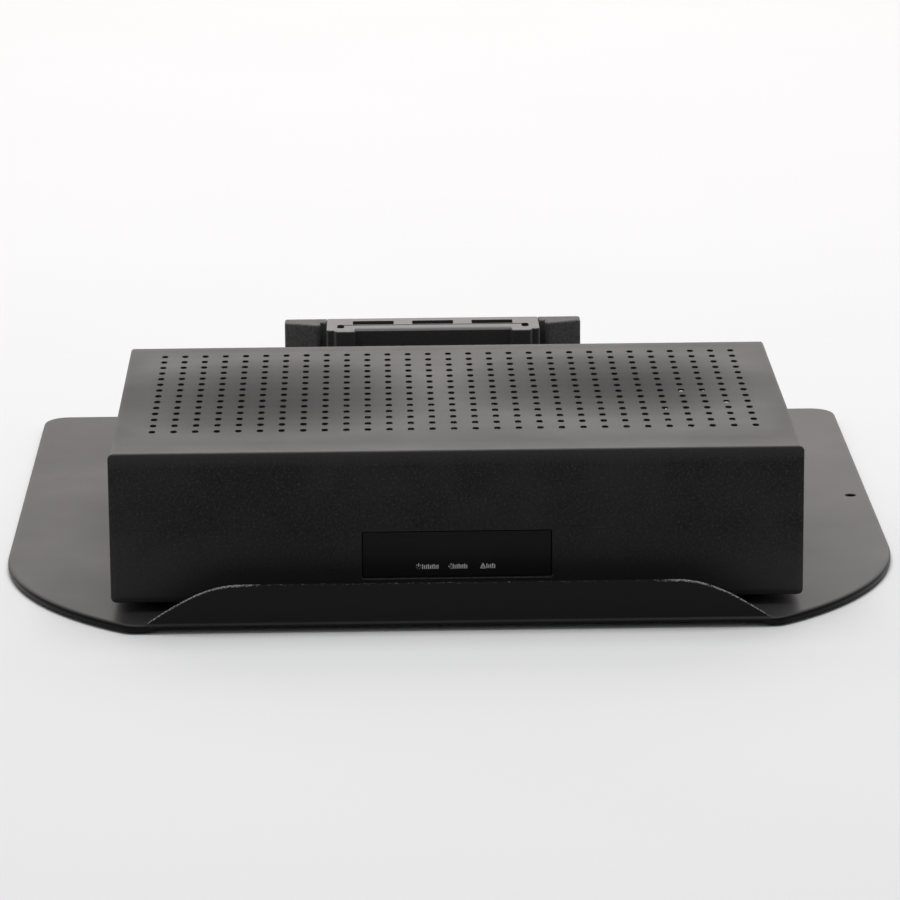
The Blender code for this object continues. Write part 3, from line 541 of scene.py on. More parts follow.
ribbon_grey = Finish("ribbon cable", (0.5, 0.51, 0.53), 0.48)
ribbon_grey.grain(1.3, 0.08, 1.0, stretch=(1.0, 0.02, 0.02)).drift(6.0, 0.4, 0.56)

cable_red = Finish("data cable", (0.42, 0.03, 0.02), 0.42)
cable_red.grain(0.8, 0.01, 0.5).drift(5.0, 0.36, 0.5).tint(7.0, (0.34, 0.02, 0.015))


def solder_mask():
    """Green lacquer over copper tracks: the tracks are a fine brick pattern seen through it."""
    made = Finish("solder mask", (0.012, 0.1, 0.04), 0.34)
    made.drift(8.0, 0.28, 0.42).grain(0.6, 0.01, 0.4)
    bricks = made.add("ShaderNodeTexBrick", offset_frequency=3, squash=1.7)
    bricks.inputs["Scale"].default_value = 95.0
    bricks.inputs["Mortar Size"].default_value = 0.09
    made.link(made.place, bricks.inputs["Vector"])
    made.mix_colour(bricks.outputs["Fac"], (0.035, 0.2, 0.075))
    made.tint(5.0, (0.008, 0.075, 0.03))
    return made


board_lacquer = solder_mask()
print("all finishes so far:", len(made_finishes))

# %% [markdown]
# ## The base plate
#
# A press makes this part from one steel sheet. Its edge is bent down all round as a rim, except at
# the front, where it is bent up as a lip that stops the recorder from sliding off. The two bends run
# into each other in an S at each end of the lip.
#
# The mesh follows that idea. The outline is walked once round. At every point of it stands a section
# of 19 points, which starts on the top, goes over the edge and comes back underneath. Where the lip
# stands, the section rises first. Between the two, one section melts into the other.

# %% Measures of the plate
PLATE_SHEET = 0.002
RIM_BEND = 0.002
FRONT_CORNER = 0.154
FRONT_CORNER_Y = -0.0734
LIP_CORNER = 0.012
REAR_CORNER = 0.013
LIP_HEIGHT = 0.0184
LIP_FOOT_X = 0.1425
LIP_SHOULDER_X = 0.099
LIP_STEPS, LEVEL_STEPS = 26, 8
NOTCH_SLOPE = 0.007
LIP_MERGE_RISE = 0.0016

plate_half = (plate_high.x - plate_low.x) / 2
plate_top = plate_high.z - LIP_HEIGHT
plate_underside = plate_top - PLATE_SHEET
rim_foot = plate_low.z
print("the plate's top is", round(plate_top - rim_foot, 4), "above its rim's foot")

# %% Stations round the plate


def plate_stations():
    """(arc centre, arc radius, outward direction) all round the plate, from the front middle."""
    big = Vector((plate_half - FRONT_CORNER, FRONT_CORNER_Y))
    small_y = plate_low.y + LIP_CORNER
    reach = math.sqrt((FRONT_CORNER - LIP_CORNER) ** 2 - (small_y - big.y) ** 2)
    small = Vector((big.x + reach, small_y))
    meet = math.atan2(small.y - big.y, reach)
    rear = Vector((plate_half - REAR_CORNER, plate_high.y - REAR_CORNER))
    right = []
    for centre, radius, start, end, steps in (
        (small, LIP_CORNER, -QUARTER_TURN, meet, 8),
        (big, FRONT_CORNER, meet, 0.0, 44),
        (rear, REAR_CORNER, 0.0, QUARTER_TURN, 12),
    ):
        for i in range(steps + 1):
            turn = start + (end - start) * i / steps
            right.append((centre, radius, Vector((math.cos(turn), math.sin(turn)))))
    left = [(Vector((-c.x, c.y)), r, Vector((-d.x, d.y))) for c, r, d in reversed(right)]
    front = [(Vector((x, small_y)), LIP_CORNER, Vector((0, -1))) for x in front_steps()]
    return right + left + front


def front_steps():
    """Places along the straight front, close together where the lip curves."""
    centre = case_origin.x
    level = [LIP_SHOULDER_X * i / LEVEL_STEPS for i in range(LEVEL_STEPS)]
    run = LIP_FOOT_X - LIP_SHOULDER_X
    curve = [LIP_SHOULDER_X + run * i / LIP_STEPS for i in range(LIP_STEPS + 1)]
    half = level + curve
    return [centre - x for x in reversed(half)] + [centre + x for x in half[1:]]


def lip_rise(x):
    """The height of the lip above the plate: level, then a sine run down at each end."""
    share = (LIP_FOOT_X - abs(x - case_origin.x)) / (LIP_FOOT_X - LIP_SHOULDER_X)
    return LIP_HEIGHT * math.sin(QUARTER_TURN * min(max(share, 0.0), 1.0))


stations = plate_stations()
print("the plate's outline has", len(stations), "stations")

# %% Sections of the rim and of the lip
EDGE_ROUND = 0.0005
INNER_FILLET = 0.0011
OUTER_BEND = 0.0013
FLAT_INSET = 0.009
# the section's points before this one lie on its upper side
UPPER_POINTS = 12


def rim_section():
    """(inset, height) over the turned-down rim, from the top to the underside."""
    foot, sheet = rim_foot, PLATE_SHEET
    points = [(inset, plate_top) for inset in (FLAT_INSET, 0.007, 0.006, 0.005, 0.004, 0.003, RIM_BEND)]
    for i in range(1, 7):
        turn = QUARTER_TURN * i / 6
        points.append((
            RIM_BEND * (1 - math.sin(turn)),
            plate_top - RIM_BEND * (1 - math.cos(turn)),
        ))
    points += [(0.0, foot + EDGE_ROUND), (EDGE_ROUND, foot), (sheet - EDGE_ROUND, foot)]
    points += [(sheet, foot + EDGE_ROUND), (sheet, plate_underside), (FLAT_INSET, plate_underside)]
    return points


def lip_section(rise):
    """(inset, height) up the lip's inner side, over its edge and down its front."""
    fillet = min(INNER_FILLET, 0.4 * rise)
    edge = min(EDGE_ROUND, 0.3 * rise)
    top = plate_top + rise
    points = [(FLAT_INSET, plate_top)]
    for i in range(5):
        turn = QUARTER_TURN * i / 4
        points.append((
            PLATE_SHEET + fillet * (1 - math.sin(turn)),
            plate_top + fillet * (1 - math.cos(turn)),
        ))
    points += [(PLATE_SHEET, top - edge), (PLATE_SHEET - edge * 0.3, top - edge * 0.3)]
    points += [(PLATE_SHEET - edge, top), (edge, top), (edge * 0.3, top - edge * 0.3), (0.0, top - edge)]
    points += [(0.0, plate_top), (0.0, plate_underside + OUTER_BEND)]
    points += [(OUTER_BEND * 0.3, plate_underside + OUTER_BEND * 0.3), (OUTER_BEND, plate_underside)]
    points += [(OUTER_BEND + 0.0008, plate_underside), (0.0045, plate_underside)]
    points += [(FLAT_INSET, plate_underside)]
    return points


print("points in a section:", len(rim_section()), "and", len(lip_section(LIP_HEIGHT)))

# %% The plate's mesh


def edge_section(x, is_front):
    """The section at one station: rim, lip, or something between."""
    if not is_front:
        return rim_section()
    rise = lip_rise(x)
    over = smooth_step(rise / LIP_MERGE_RISE)
    under = smooth_step((LIP_FOOT_X - abs(x - case_origin.x)) / NOTCH_SLOPE)
    blended = []
    for i, (rim, lip) in enumerate(zip(rim_section(), lip_section(rise))):
        share = over if i < UPPER_POINTS else under
        blended.append((rim[0] + (lip[0] - rim[0]) * share, rim[1] + (lip[1] - rim[1]) * share))
    return blended


sections = []
for centre, radius, outwards in stations:
    is_front = abs(outwards.x) < 1e-6 and outwards.y < 0
    section = edge_section(centre.x, is_front)
    sections.append([
        Vector((*(centre + outwards * (radius - inset)), height)) for inset, height in section
    ])
plate_rings = [[section[level] for section in sections] for level in range(len(sections[0]))]
plate_shape = skinned(plate_rings)
bmesh.ops.remove_doubles(plate_shape, verts=plate_shape.verts, dist=0.00001)
bmesh.ops.recalc_face_normals(plate_shape, faces=plate_shape.faces)
base_plate = bare_object("pressed_base_plate", plate_shape)
print("plate mesh:", len(base_plate.data.vertices), "points")

# %% [markdown]
# One small round hole is punched through the right wing, for the screw of a cable clip or a lock.
# The punch leaves it with a slightly rounded mouth. Then the plate gets its coat: paler on the level
# and towards the right, darker on the bends below and above it, and pale specks along the lip's upper
# edge, which are a painted highlight where that thin edge catches the light. The specks follow an
# attribute that is stored on the points of the mesh.

# %% Punched hole and the plate's coat
KEY_HOLE = (0.2018, 0.015)
KEY_HOLE_RADIUS = 0.0026
hole_profile = [
    (KEY_HOLE_RADIUS, plate_underside - 0.001),
    (KEY_HOLE_RADIUS, plate_top - 0.0004),
    (KEY_HOLE_RADIUS + 0.0003, plate_top),
    (KEY_HOLE_RADIUS + 0.0007, plate_top + 0.0004),
]
carved(base_plate, turned("z", KEY_HOLE, hole_profile, 32))

DARK_BENDS_COLOUR = (0.0036, 0.0036, 0.0038)
GLINT_DEPTH, GLINT_LEAST_RISE, GLINT_HEIGHT = 0.0011, 0.0006, 0.0007
GLINT_ON_LEVEL = 0.97
plate_coat = Finish("plate powder coat", (0.032, 0.0305, 0.03), 0.4).set("IOR", COAT_IOR)
plate_coat.grain(0.7, 0.02, 0.5).grain(5.0, 0.02, 0.2).drift(70.0, 0.38, 0.43)
# paler towards the right, and darker on the rim's bend below the level and on the lip above it
plate_coat.tint(40.0, (0.04, 0.038, 0.037)).graded("X", 0.05, 0.2, (0.062, 0.06, 0.059))
plate_coat.graded("Z", plate_top - 0.0003, plate_top - 0.0009, DARK_BENDS_COLOUR)
plate_coat.graded("Z", plate_top + 0.0002, plate_top + 0.0008, DARK_BENDS_COLOUR)
# painted highlight: pale specks along the lip's upper edge, where its thin edge catches the light
plate_coat.highlight_specks("wear", (0.34, 0.33, 0.32))


def wear_at(spot):
    """Where the painted highlight goes: one on the S-bends of the lip's upper edge, a little less along its
    level edge.
    """
    rise = lip_rise(spot.x)
    inside = spot.y > plate_low.y + GLINT_DEPTH
    if inside or rise < GLINT_LEAST_RISE or spot.z < plate_top + rise - GLINT_HEIGHT:
        return 0.0
    return 1.0 if abs(spot.x - case_origin.x) > LIP_SHOULDER_X - 0.006 else GLINT_ON_LEVEL


# where the lip's painted highlight goes, stored on the points of the mesh
wear = base_plate.data.attributes.new("wear", "FLOAT", "POINT")
wear.data.foreach_set("value", [wear_at(vertex.co) for vertex in base_plate.data.vertices])
finished(base_plate, plate_coat, "powder_coat", "carrier", "base_plate")
print("plate finished:", len(base_plate.data.polygons), "faces")

# %% [markdown]
# ## Pads and feet
#
# Four soft pads stand under the plate, and four moulded rubber feet under the recorder. They are
# turned shapes: a flat sole, a rounded edge, and for the feet a dimple where the fixing pin goes in.

# %% Pads and feet
CORNERS = [f"{end}_{side}" for end in ("front", "rear") for side in ("left", "right")]


def make_sole(name, node, body, dimple):
    """A round rubber sole that fills its solid's box."""
    round_edge = 0.0005
    low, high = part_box(node)
    middle = (low + high) / 2
    radius = (high.x - low.x) / 2
    profile = []
    if dimple:
        profile += [(0.0012, low.z + 0.0012), (0.0026, low.z + 0.0011), (0.003, low.z + 0.0002)]
    profile += [(radius * 0.4, low.z), (radius * 0.84, low.z)]
    profile += arc((radius * 0.84, low.z + round_edge), round_edge, -QUARTER_TURN, 0, 3)
    profile += [(radius, high.z - 0.0004), (radius - 0.0004, high.z)]
    return piece(name, turned("z", middle, profile, 48), rubber, "rubber", body, node)


for corner in CORNERS:
    make_sole(f"plate_pad_{corner}", f"pad_{corner}", "carrier", dimple=False)
    make_sole(f"rubber_foot_{corner}", f"foot_{corner}", "recorder", dimple=True)
print("soles:", 2 * len(CORNERS))

# %% [markdown]
# ## Geometry Nodes for what repeats
#
# Perforations, screws, contacts, chips and fan blades repeat. For these, a small node tree places
# copies by rule, which is easier to change than a long list. Every tree ends by turning its copies
# into real mesh and giving it a material, and the outcome is then kept as a plain mesh.

# %% A small builder for node trees


class Tree:
    """A Geometry Nodes tree with named inputs."""

    def __init__(self, name, **inputs):
        self.tree = bpy.data.node_groups.new(name, "GeometryNodeTree")
        self.identifiers = {}
        for label, kind in {"Geometry": "Geometry", **inputs, "Material": "Material"}.items():
            made = self.tree.interface.new_socket(
                label.replace("_", " "), in_out="INPUT", socket_type="NodeSocket" + kind
            )
            self.identifiers[label] = made.identifier
        self.tree.interface.new_socket("Geometry", in_out="OUTPUT", socket_type="NodeSocketGeometry")
        self.given = self.tree.nodes.new("NodeGroupInput").outputs

    def node(self, kind, links=None, **settings):
        """A node with its settings, and its inputs linked or set by name or number."""
        made = self.tree.nodes.new(kind)
        for key, value in settings.items():
            setattr(made, key, value)
        for key, value in (links or {}).items():
            if isinstance(value, bpy.types.NodeSocket):
                self.tree.links.new(value, made.inputs[key])
            else:
                made.inputs[key].default_value = value
        return made.outputs

    def end(self, geometry):
        """Finish with real mesh, one material and the output."""
        real = self.node("GeometryNodeRealizeInstances", {"Geometry": geometry})
        coated = self.node(
            "GeometryNodeSetMaterial", {"Geometry": real["Geometry"], "Material": self.given["Material"]}
        )
        self.node("NodeGroupOutput", {"Geometry": coated["Geometry"]})
        return self

    def grow(self, made, coat, **values):
        """Run the tree on an object and keep the result as its plain mesh."""
        step = made.modifiers.new("grow", "NODES")
        step.node_group = self.tree
        for label, value in {"Material": coat.material, **values}.items():
            step[self.identifiers[label]] = value
        return settled(made)


print("node trees so far:", len(bpy.data.node_groups))

# %% [markdown]
# ### Copies on points
#
# The simplest tree puts a copy of one object on every point of another. It serves for screws,
# contacts and small components. `Turn` sets how all the copies are rotated.

# %% Tree: copies on points
on_points = Tree("copies on points", Copied="Object", Turn="Vector")
copied = on_points.node("GeometryNodeObjectInfo", {"Object": on_points.given["Copied"]})
placed = on_points.node("GeometryNodeInstanceOnPoints", {
    "Points": on_points.given["Geometry"],
    "Instance": copied["Geometry"],
    "Rotation": on_points.given["Turn"],
})
on_points.end(placed["Instances"])


FACE_UP = (0, 0, 0)
FACE_RIGHT = (0, QUARTER_TURN, 0)
FACE_LEFT = (0, -QUARTER_TURN, 0)
FACE_REAR = (-QUARTER_TURN, 0, 0)


def copies(name, shape, spots, coat, slot, body, *nodes, turn=FACE_UP):
    """One finished piece with a copy of `shape` on every spot."""
    original = bare_object("original", shape)
    original.data.shade_smooth()
    points = bmesh.new()
    for spot in spots:
        points.verts.new(spot)
    made = bare_object(name, points)
    on_points.grow(made, coat, Copied=original, Turn=turn)
    bpy.data.objects.remove(original)
    return finished(made, coat, slot, body, *nodes)


print("inputs:", list(on_points.identifiers))

# %% [markdown]
# ### Copies round a ring
#
# Fan blades stand round an axis at equal angles. This tree makes as many points as there are
# blades, all in the middle, and turns each copy one step further than the last. The axis is Y here,
# because the fan faces the rear.

# %% Tree: copies round a ring
on_ring = Tree("copies round a ring", Copied="Object", Count="Int", Centre="Vector")
line = on_ring.node("GeometryNodeMeshLine", {
    "Count": on_ring.given["Count"], "Start Location": on_ring.given["Centre"], "Offset": (0, 0, 0),
})
index = on_ring.node("GeometryNodeInputIndex")
step_angle = on_ring.node(
    "ShaderNodeMath", {0: 2 * HALF_TURN, 1: on_ring.given["Count"]}, operation="DIVIDE"
)
angle = on_ring.node("ShaderNodeMath", {0: index[0], 1: step_angle[0]}, operation="MULTIPLY")
turn_vector = on_ring.node("ShaderNodeCombineXYZ", {"Y": angle[0]})
copied = on_ring.node("GeometryNodeObjectInfo", {"Object": on_ring.given["Copied"]})
placed = on_ring.node("GeometryNodeInstanceOnPoints", {
    "Points": line["Mesh"], "Instance": copied["Geometry"], "Rotation": turn_vector[0],
})
on_ring.end(placed["Instances"])


def ring_of(name, shape, count, centre, coat, slot, body):
    """One finished piece with `count` copies of a shape, which is drawn round the origin."""
    original = bare_object("original", shape)
    original.data.shade_smooth()
    made = bare_object(name, bmesh.new())
    on_ring.grow(made, coat, Copied=original, Count=count, Centre=centre)
    bpy.data.objects.remove(original)
    return finished(made, coat, slot, body)


print("trees:", [group.name for group in bpy.data.node_groups])

# %% [markdown]
# ## The bracket
#
# The bracket behind the recorder carries an upper column, which hooks into three slots. A steel foot
# plate is screwed to the base, two coarse-grained posts stand on it, and a glossier moulded socket
# fills the space between them. The socket's top shows its make: three slots, a fine groove in front
# of them that ends in two small wells, and a rounded bar along the front between two lugs.

# %% Bracket foot
FOOT_ROWS = (-0.0255, 0.006)
FOOT_HOLE_RADIUS = 0.0023
foot_middle = (foot_low + foot_high) / 2
foot_reach = (foot_high.x - foot_low.x) / 2 - 0.01
foot_screw_spots = [
    bracket_origin + Vector((side * foot_reach, row, foot_high.z - foot_low.z + GAP))
    for row in FOOT_ROWS
    for side in (-1, 1)
]
foot_outline = rounded(foot_middle, foot_high.x - foot_low.x, foot_high.y - foot_low.y, 0.004)
foot_hole = [(FOOT_HOLE_RADIUS, foot_low.z - 0.001), (FOOT_HOLE_RADIUS, foot_high.z + 0.001)]
piece(
    "bracket_foot_plate", prism(foot_outline, "z", foot_low.z, foot_high.z),
    powder_coat, "powder_coat", "carrier", "bracket_foot",
    cut=[turned("z", spot, foot_hole, 20) for spot in foot_screw_spots], edge=(0.0004, 3, 40),
)
print("foot plate with", len(foot_screw_spots), "holes")

# %% Bracket posts
POST_WIDTH = 0.0184
POST_OUTER_DEPTH, POST_INNER_DEPTH, POST_WEB_DEPTH = 0.01, 0.015, 0.0085
POST_CROWN, POST_CROWN_STEPS = 0.001, 5
POST_WIDE_ROUND, POST_SMALL_ROUND = 0.0024, 0.0014
WEB_GAP = 0.00005

socket_half = (socket_high.x - socket_low.x) / 2
socket_top = socket_high.z
bracket_half = (foot_high.x - foot_low.x) / 2


def in_bracket(x, y):
    return (bracket_origin.x + x, bracket_origin.y + y)


def post_outline(inset):
    """The right post and its web from above, moved in by `inset`, with round corners."""
    outer, inner = bracket_half - inset, bracket_half - POST_WIDTH + inset
    web, rear = socket_half + WEB_GAP, -inset
    front_in, front_out = -POST_INNER_DEPTH + inset, -POST_OUTER_DEPTH + inset
    wide, small = POST_WIDE_ROUND - inset, POST_SMALL_ROUND - inset
    points = arc((outer - small, rear - small), small, 0, QUARTER_TURN, 4)
    points += [(web + small / 2, rear), (web, rear - small / 2)]
    points += [(web, -POST_WEB_DEPTH + inset), (inner, -POST_WEB_DEPTH + inset)]
    points += arc((inner + wide, front_in + wide), wide, HALF_TURN, 3 * QUARTER_TURN, 6)
    points += arc((outer - small, front_out + small), small, -QUARTER_TURN, 0, 5)
    return points


for side, name in ((-1, "left"), (1, "right")):
    low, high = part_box(f"bracket_post_{name}")
    rings = [(0.0, low.z)]
    for step in range(POST_CROWN_STEPS + 1):
        turn = QUARTER_TURN * step / POST_CROWN_STEPS
        rings.append((POST_CROWN * (1 - math.cos(turn)), high.z - POST_CROWN * (1 - math.sin(turn))))
    post = skinned([
        [(*in_bracket(side * x, y), z) for x, y in post_outline(inset)] for inset, z in rings
    ])
    piece(
        f"moulded_post_{name}", post, post_moulding, "black_moulding", "carrier", f"bracket_post_{name}"
    )
print("posts stand", round(high.z - low.z, 4), "tall")

# %% Socket of the bracket
LUG_INNER, LUG_OUTER = 0.04, 0.0505
LUG_FRONT, BAR_FRONT, SHOULDER = -0.031, -0.026, -0.0278
SLOT_PITCH, SLOT_WIDTH, SLOT_DEPTH, SLOT_REAR = 0.0305, 0.021, 0.008, -0.0066
GROOVE_Y, GROOVE_WIDTH, GROOVE_DEPTH = -0.016, 0.0013, 0.0016
WELL_X, WELL_Y = 0.0472, -0.0188
SLOT_REACH = 0.04
ABOVE = 0.002
SOCKET_ROUND, POCKET_ROUND = 0.0008, 0.00022
BAR_ROUND_Y, BAR_ROUND_Z, BAR_ROUND_STEPS = 0.0042, 0.0011, 8


def socket_outline():
    """The socket from above: a recessed front between two lugs, round at every corner."""
    right = arc((LUG_INNER - 0.001, BAR_FRONT - 0.001), 0.001, QUARTER_TURN, 0, 4)
    right += arc((LUG_INNER + 0.0014, LUG_FRONT + 0.0014), 0.0014, HALF_TURN, 3 * QUARTER_TURN, 6)
    right += arc((LUG_OUTER - 0.0022, LUG_FRONT + 0.0022), 0.0022, -QUARTER_TURN, 0, 8)
    right += arc((LUG_OUTER + 0.0007, SHOULDER - 0.0007), 0.0007, HALF_TURN, QUARTER_TURN, 4)
    right += arc((socket_half - 0.0016, SHOULDER + 0.0016), 0.0016, -QUARTER_TURN, 0, 5)
    right += arc((socket_half - 0.0012, -0.0012), 0.0012, 0, QUARTER_TURN, 4)
    left = [(-x, y) for x, y in reversed(right)]
    return [in_bracket(x, y) for x, y in right + left]


def pocket(centre, width, height, radius, deep, steps=4):
    """What cuts a straight pocket into the socket's top."""
    outline = rounded(in_bracket(*centre), width, height, radius, steps)
    return prism(outline, "z", socket_top - deep, socket_top + ABOVE)


def bar_rounding():
    """What is taken off the bar's front edge to leave it rounded."""
    y = bracket_origin.y + BAR_FRONT
    turns = [QUARTER_TURN * i / BAR_ROUND_STEPS for i in range(BAR_ROUND_STEPS + 1)]
    curve = [
        (y + BAR_ROUND_Y * (1 - math.sin(turn)), socket_top - BAR_ROUND_Z * (1 - math.cos(turn)))
        for turn in turns
    ]
    outline = curve[::-1] + [(y + BAR_ROUND_Y, socket_top + ABOVE), (y - ABOVE, socket_top + ABOVE)]
    outline += [(y - ABOVE, socket_top - BAR_ROUND_Z)]
    reach = LUG_INNER - 0.0002
    return prism(outline, "x", bracket_origin.x - reach, bracket_origin.x + reach)


bracket_socket = bare_object("slotted_socket", prism(socket_outline(), "z", socket_low.z, socket_top))
edged(bracket_socket, SOCKET_ROUND, 4, 60)
hook_slots = [
    pocket((step * SLOT_PITCH, SLOT_REAR - SLOT_DEPTH / 2), SLOT_WIDTH, SLOT_DEPTH, 0.0007, SLOT_REACH)
    for step in (-1, 0, 1)
]
wells = [pocket((side * WELL_X, WELL_Y), 0.0036, 0.008, 0.0017, SLOT_REACH, 6) for side in (-1, 1)]
carved(bracket_socket, *hook_slots, *wells)
carved(bracket_socket, pocket((0, GROOVE_Y), 2 * WELL_X, GROOVE_WIDTH, GROOVE_WIDTH * 0.45, GROOVE_DEPTH))
carved(bracket_socket, bar_rounding())
edged(bracket_socket, POCKET_ROUND, 2, 60)
finished(bracket_socket, gloss_moulding, "gloss_moulding", "carrier", "bracket_socket")
print("socket:", len(bracket_socket.data.polygons), "faces")

# %% [markdown]
# ## The perforated cover
#
# The cover is one sheet, folded down at both sides. Warm air leaves through 406 small holes in its
# top, each longer than it is wide. Cutting 406 holes with Booleans is slow and leaves a messy mesh.
# It is neater to think in tiles: one rectangle of sheet with one hole, filled from two curves, and
# copied over a grid.
#
# The plain part of the cover is a grid of quads with a window of exactly the tiled size, so that the
# tiles merge into it point on point. Solidify then gives the thickness, walls of the holes included.

# %% Tree: a field of perforated tiles
perforated = Tree(
    "perforated field", Columns="Int", Rows="Int", Pitch_X="Float", Pitch_Y="Float",
    Hole_Width="Float", Hole_Length="Float", End_Radius="Float", Centre="Vector",
)
given = perforated.given
tile_edge = perforated.node(
    "GeometryNodeCurvePrimitiveQuadrilateral", {"Width": given["Pitch X"], "Height": given["Pitch Y"]}
)
hole_sides = perforated.node(
    "GeometryNodeCurvePrimitiveQuadrilateral",
    {"Width": given["Hole Width"], "Height": given["Hole Length"]},
)
tile_hole = perforated.node("GeometryNodeFilletCurve", {
    "Curve": hole_sides["Curve"], "Radius": given["End Radius"], "Count": 5, "Limit Radius": True,
}, mode="POLY")
both = perforated.node("GeometryNodeJoinGeometry")
for curve in (tile_edge["Curve"], tile_hole["Curve"]):
    perforated.tree.links.new(curve, both["Geometry"].node.inputs["Geometry"])
tile = perforated.node("GeometryNodeFillCurve", {"Curve": both["Geometry"]})


def product_less_one(count, pitch):
    """The width between the first and last tile's middles, as nodes."""
    less = perforated.node("ShaderNodeMath", {0: count, 1: 1.0}, operation="SUBTRACT")
    return perforated.node("ShaderNodeMath", {0: less[0], 1: pitch}, operation="MULTIPLY")[0]


grid = perforated.node("GeometryNodeMeshGrid", {
    "Size X": product_less_one(given["Columns"], given["Pitch X"]),
    "Size Y": product_less_one(given["Rows"], given["Pitch Y"]),
    "Vertices X": given["Columns"],
    "Vertices Y": given["Rows"],
})
tiles = perforated.node("GeometryNodeInstanceOnPoints", {"Points": grid["Mesh"], "Instance": tile["Mesh"]})
moved = perforated.node(
    "GeometryNodeTransform", {"Geometry": tiles["Instances"], "Translation": given["Centre"]}
)
real = perforated.node("GeometryNodeRealizeInstances", {"Geometry": moved["Geometry"]})
sheet = perforated.node("GeometryNodeJoinGeometry")
for part in (real["Geometry"], given["Geometry"]):
    perforated.tree.links.new(part, sheet["Geometry"].node.inputs["Geometry"])
welded = perforated.node(
    "GeometryNodeMergeByDistance", {"Geometry": sheet["Geometry"], "Distance": 0.00002}
)
perforated.end(welded["Geometry"])
print("inputs:", list(perforated.identifiers))

# %% The field of holes and the cover's section
HOLE_COLUMNS, HOLE_ROWS = 29, 14
HOLE_PITCH_X, HOLE_PITCH_Y = 0.00998, 0.01166
HOLE_WIDTH, HOLE_LENGTH = 0.003, 0.005
FIELD_MIDDLE_X, FIELD_MIDDLE_Y = -0.0001, 0.1178
COVER_SHEET = 0.001
COVER_BEND = 0.0016
MARGIN_ROWS = 2

cover_middle = (cover_low.x + cover_high.x) / 2
cover_half = case_width / 2
tile_edges = [-HOLE_PITCH_X * HOLE_COLUMNS / 2 + HOLE_PITCH_X * i for i in range(HOLE_COLUMNS + 1)]
field_columns = [cover_middle + FIELD_MIDDLE_X + x for x in tile_edges]
field_rows = [
    case_origin.y + FIELD_MIDDLE_Y - HOLE_PITCH_Y * HOLE_ROWS / 2 + HOLE_PITCH_Y * i
    for i in range(HOLE_ROWS + 1)
]


def cover_profile():
    """(x, z) up the left side, over the top and down the right side."""
    top = cover_high.z
    bends = []
    for side, start, end in ((-1, HALF_TURN, QUARTER_TURN), (1, QUARTER_TURN, 0)):
        corner = (cover_middle + side * (cover_half - COVER_BEND), top - COVER_BEND)
        bends.append(arc(corner, COVER_BEND, start, end, 6))
    side_levels = [cover_low.z + (top - COVER_BEND - cover_low.z) * i / 6 for i in range(6)]
    left = [(cover_middle - cover_half, z) for z in side_levels] + bends[0]
    right = bends[1] + [(cover_middle + cover_half, z) for z in reversed(side_levels)]
    return left + [(x, top) for x in field_columns] + right


print(HOLE_COLUMNS * HOLE_ROWS, "holes;", len(cover_profile()), "points across the cover")

# %% The cover's plain sheet


def cover_sheet():
    """The folded sheet with a rectangular window where the holes go."""
    profile = cover_profile()
    rows = [cover_low.y, (cover_low.y + field_rows[0]) / 2] + field_rows
    rows += [(field_rows[-1] + cover_high.y) / 2, cover_high.y]
    shape = bmesh.new()
    grid_points = [[shape.verts.new((x, y, z)) for x, z in profile] for y in rows]
    first_column = next(i for i, (x, z) in enumerate(profile) if abs(x - field_columns[0]) < 1e-7)
    for j in range(len(rows) - 1):
        for i in range(len(profile) - 1):
            in_columns = first_column <= i < first_column + HOLE_COLUMNS
            in_rows = MARGIN_ROWS <= j < MARGIN_ROWS + HOLE_ROWS
            if not (in_columns and in_rows):
                corners = (grid_points[j][i], grid_points[j][i + 1])
                shape.faces.new((*corners, grid_points[j + 1][i + 1], grid_points[j + 1][i]))
    bmesh.ops.delete(shape, geom=[v for v in shape.verts if not v.link_faces], context="VERTS")
    return shape


def faces_up(made):
    """Turn the whole sheet over if its top faces look down."""
    shape = bmesh.new()
    shape.from_mesh(made.data)
    bmesh.ops.recalc_face_normals(shape, faces=shape.faces)
    highest = max(shape.faces, key=lambda face: face.calc_center_median().z)
    if highest.normal.z < 0:
        bmesh.ops.reverse_faces(shape, faces=shape.faces)
    shape.to_mesh(made.data)
    shape.free()
    return made


cover = bare_object("perforated_cover", cover_sheet())
print("plain sheet:", len(cover.data.polygons), "faces")

# %% Holes and thickness
perforated.grow(
    cover, case_coat, Columns=HOLE_COLUMNS, Rows=HOLE_ROWS, Pitch_X=HOLE_PITCH_X,
    Pitch_Y=HOLE_PITCH_Y, Hole_Width=HOLE_WIDTH, Hole_Length=HOLE_LENGTH, End_Radius=HOLE_WIDTH * 0.48,
    Centre=(cover_middle + FIELD_MIDDLE_X, case_origin.y + FIELD_MIDDLE_Y, cover_high.z),
)
faces_up(cover)
thickness = cover.modifiers.new("sheet", "SOLIDIFY")
thickness.thickness = COVER_SHEET
thickness.offset = -1.0
thickness.use_even_offset = True
settled(cover)
print("cover:", len(cover.data.polygons), "faces")

# %% [markdown]
# ### Screws
#
# A pan-head screw is a turned blank with a cross pressed into its head. It is made once, standing on
# z = 0, and then copied by the first tree. Four hold the bracket and four the cover here. The same
# function makes the smaller ones of the rear panel, the main board and the drive further on.

# %% Screws
THREAD_PITCH = 0.0008


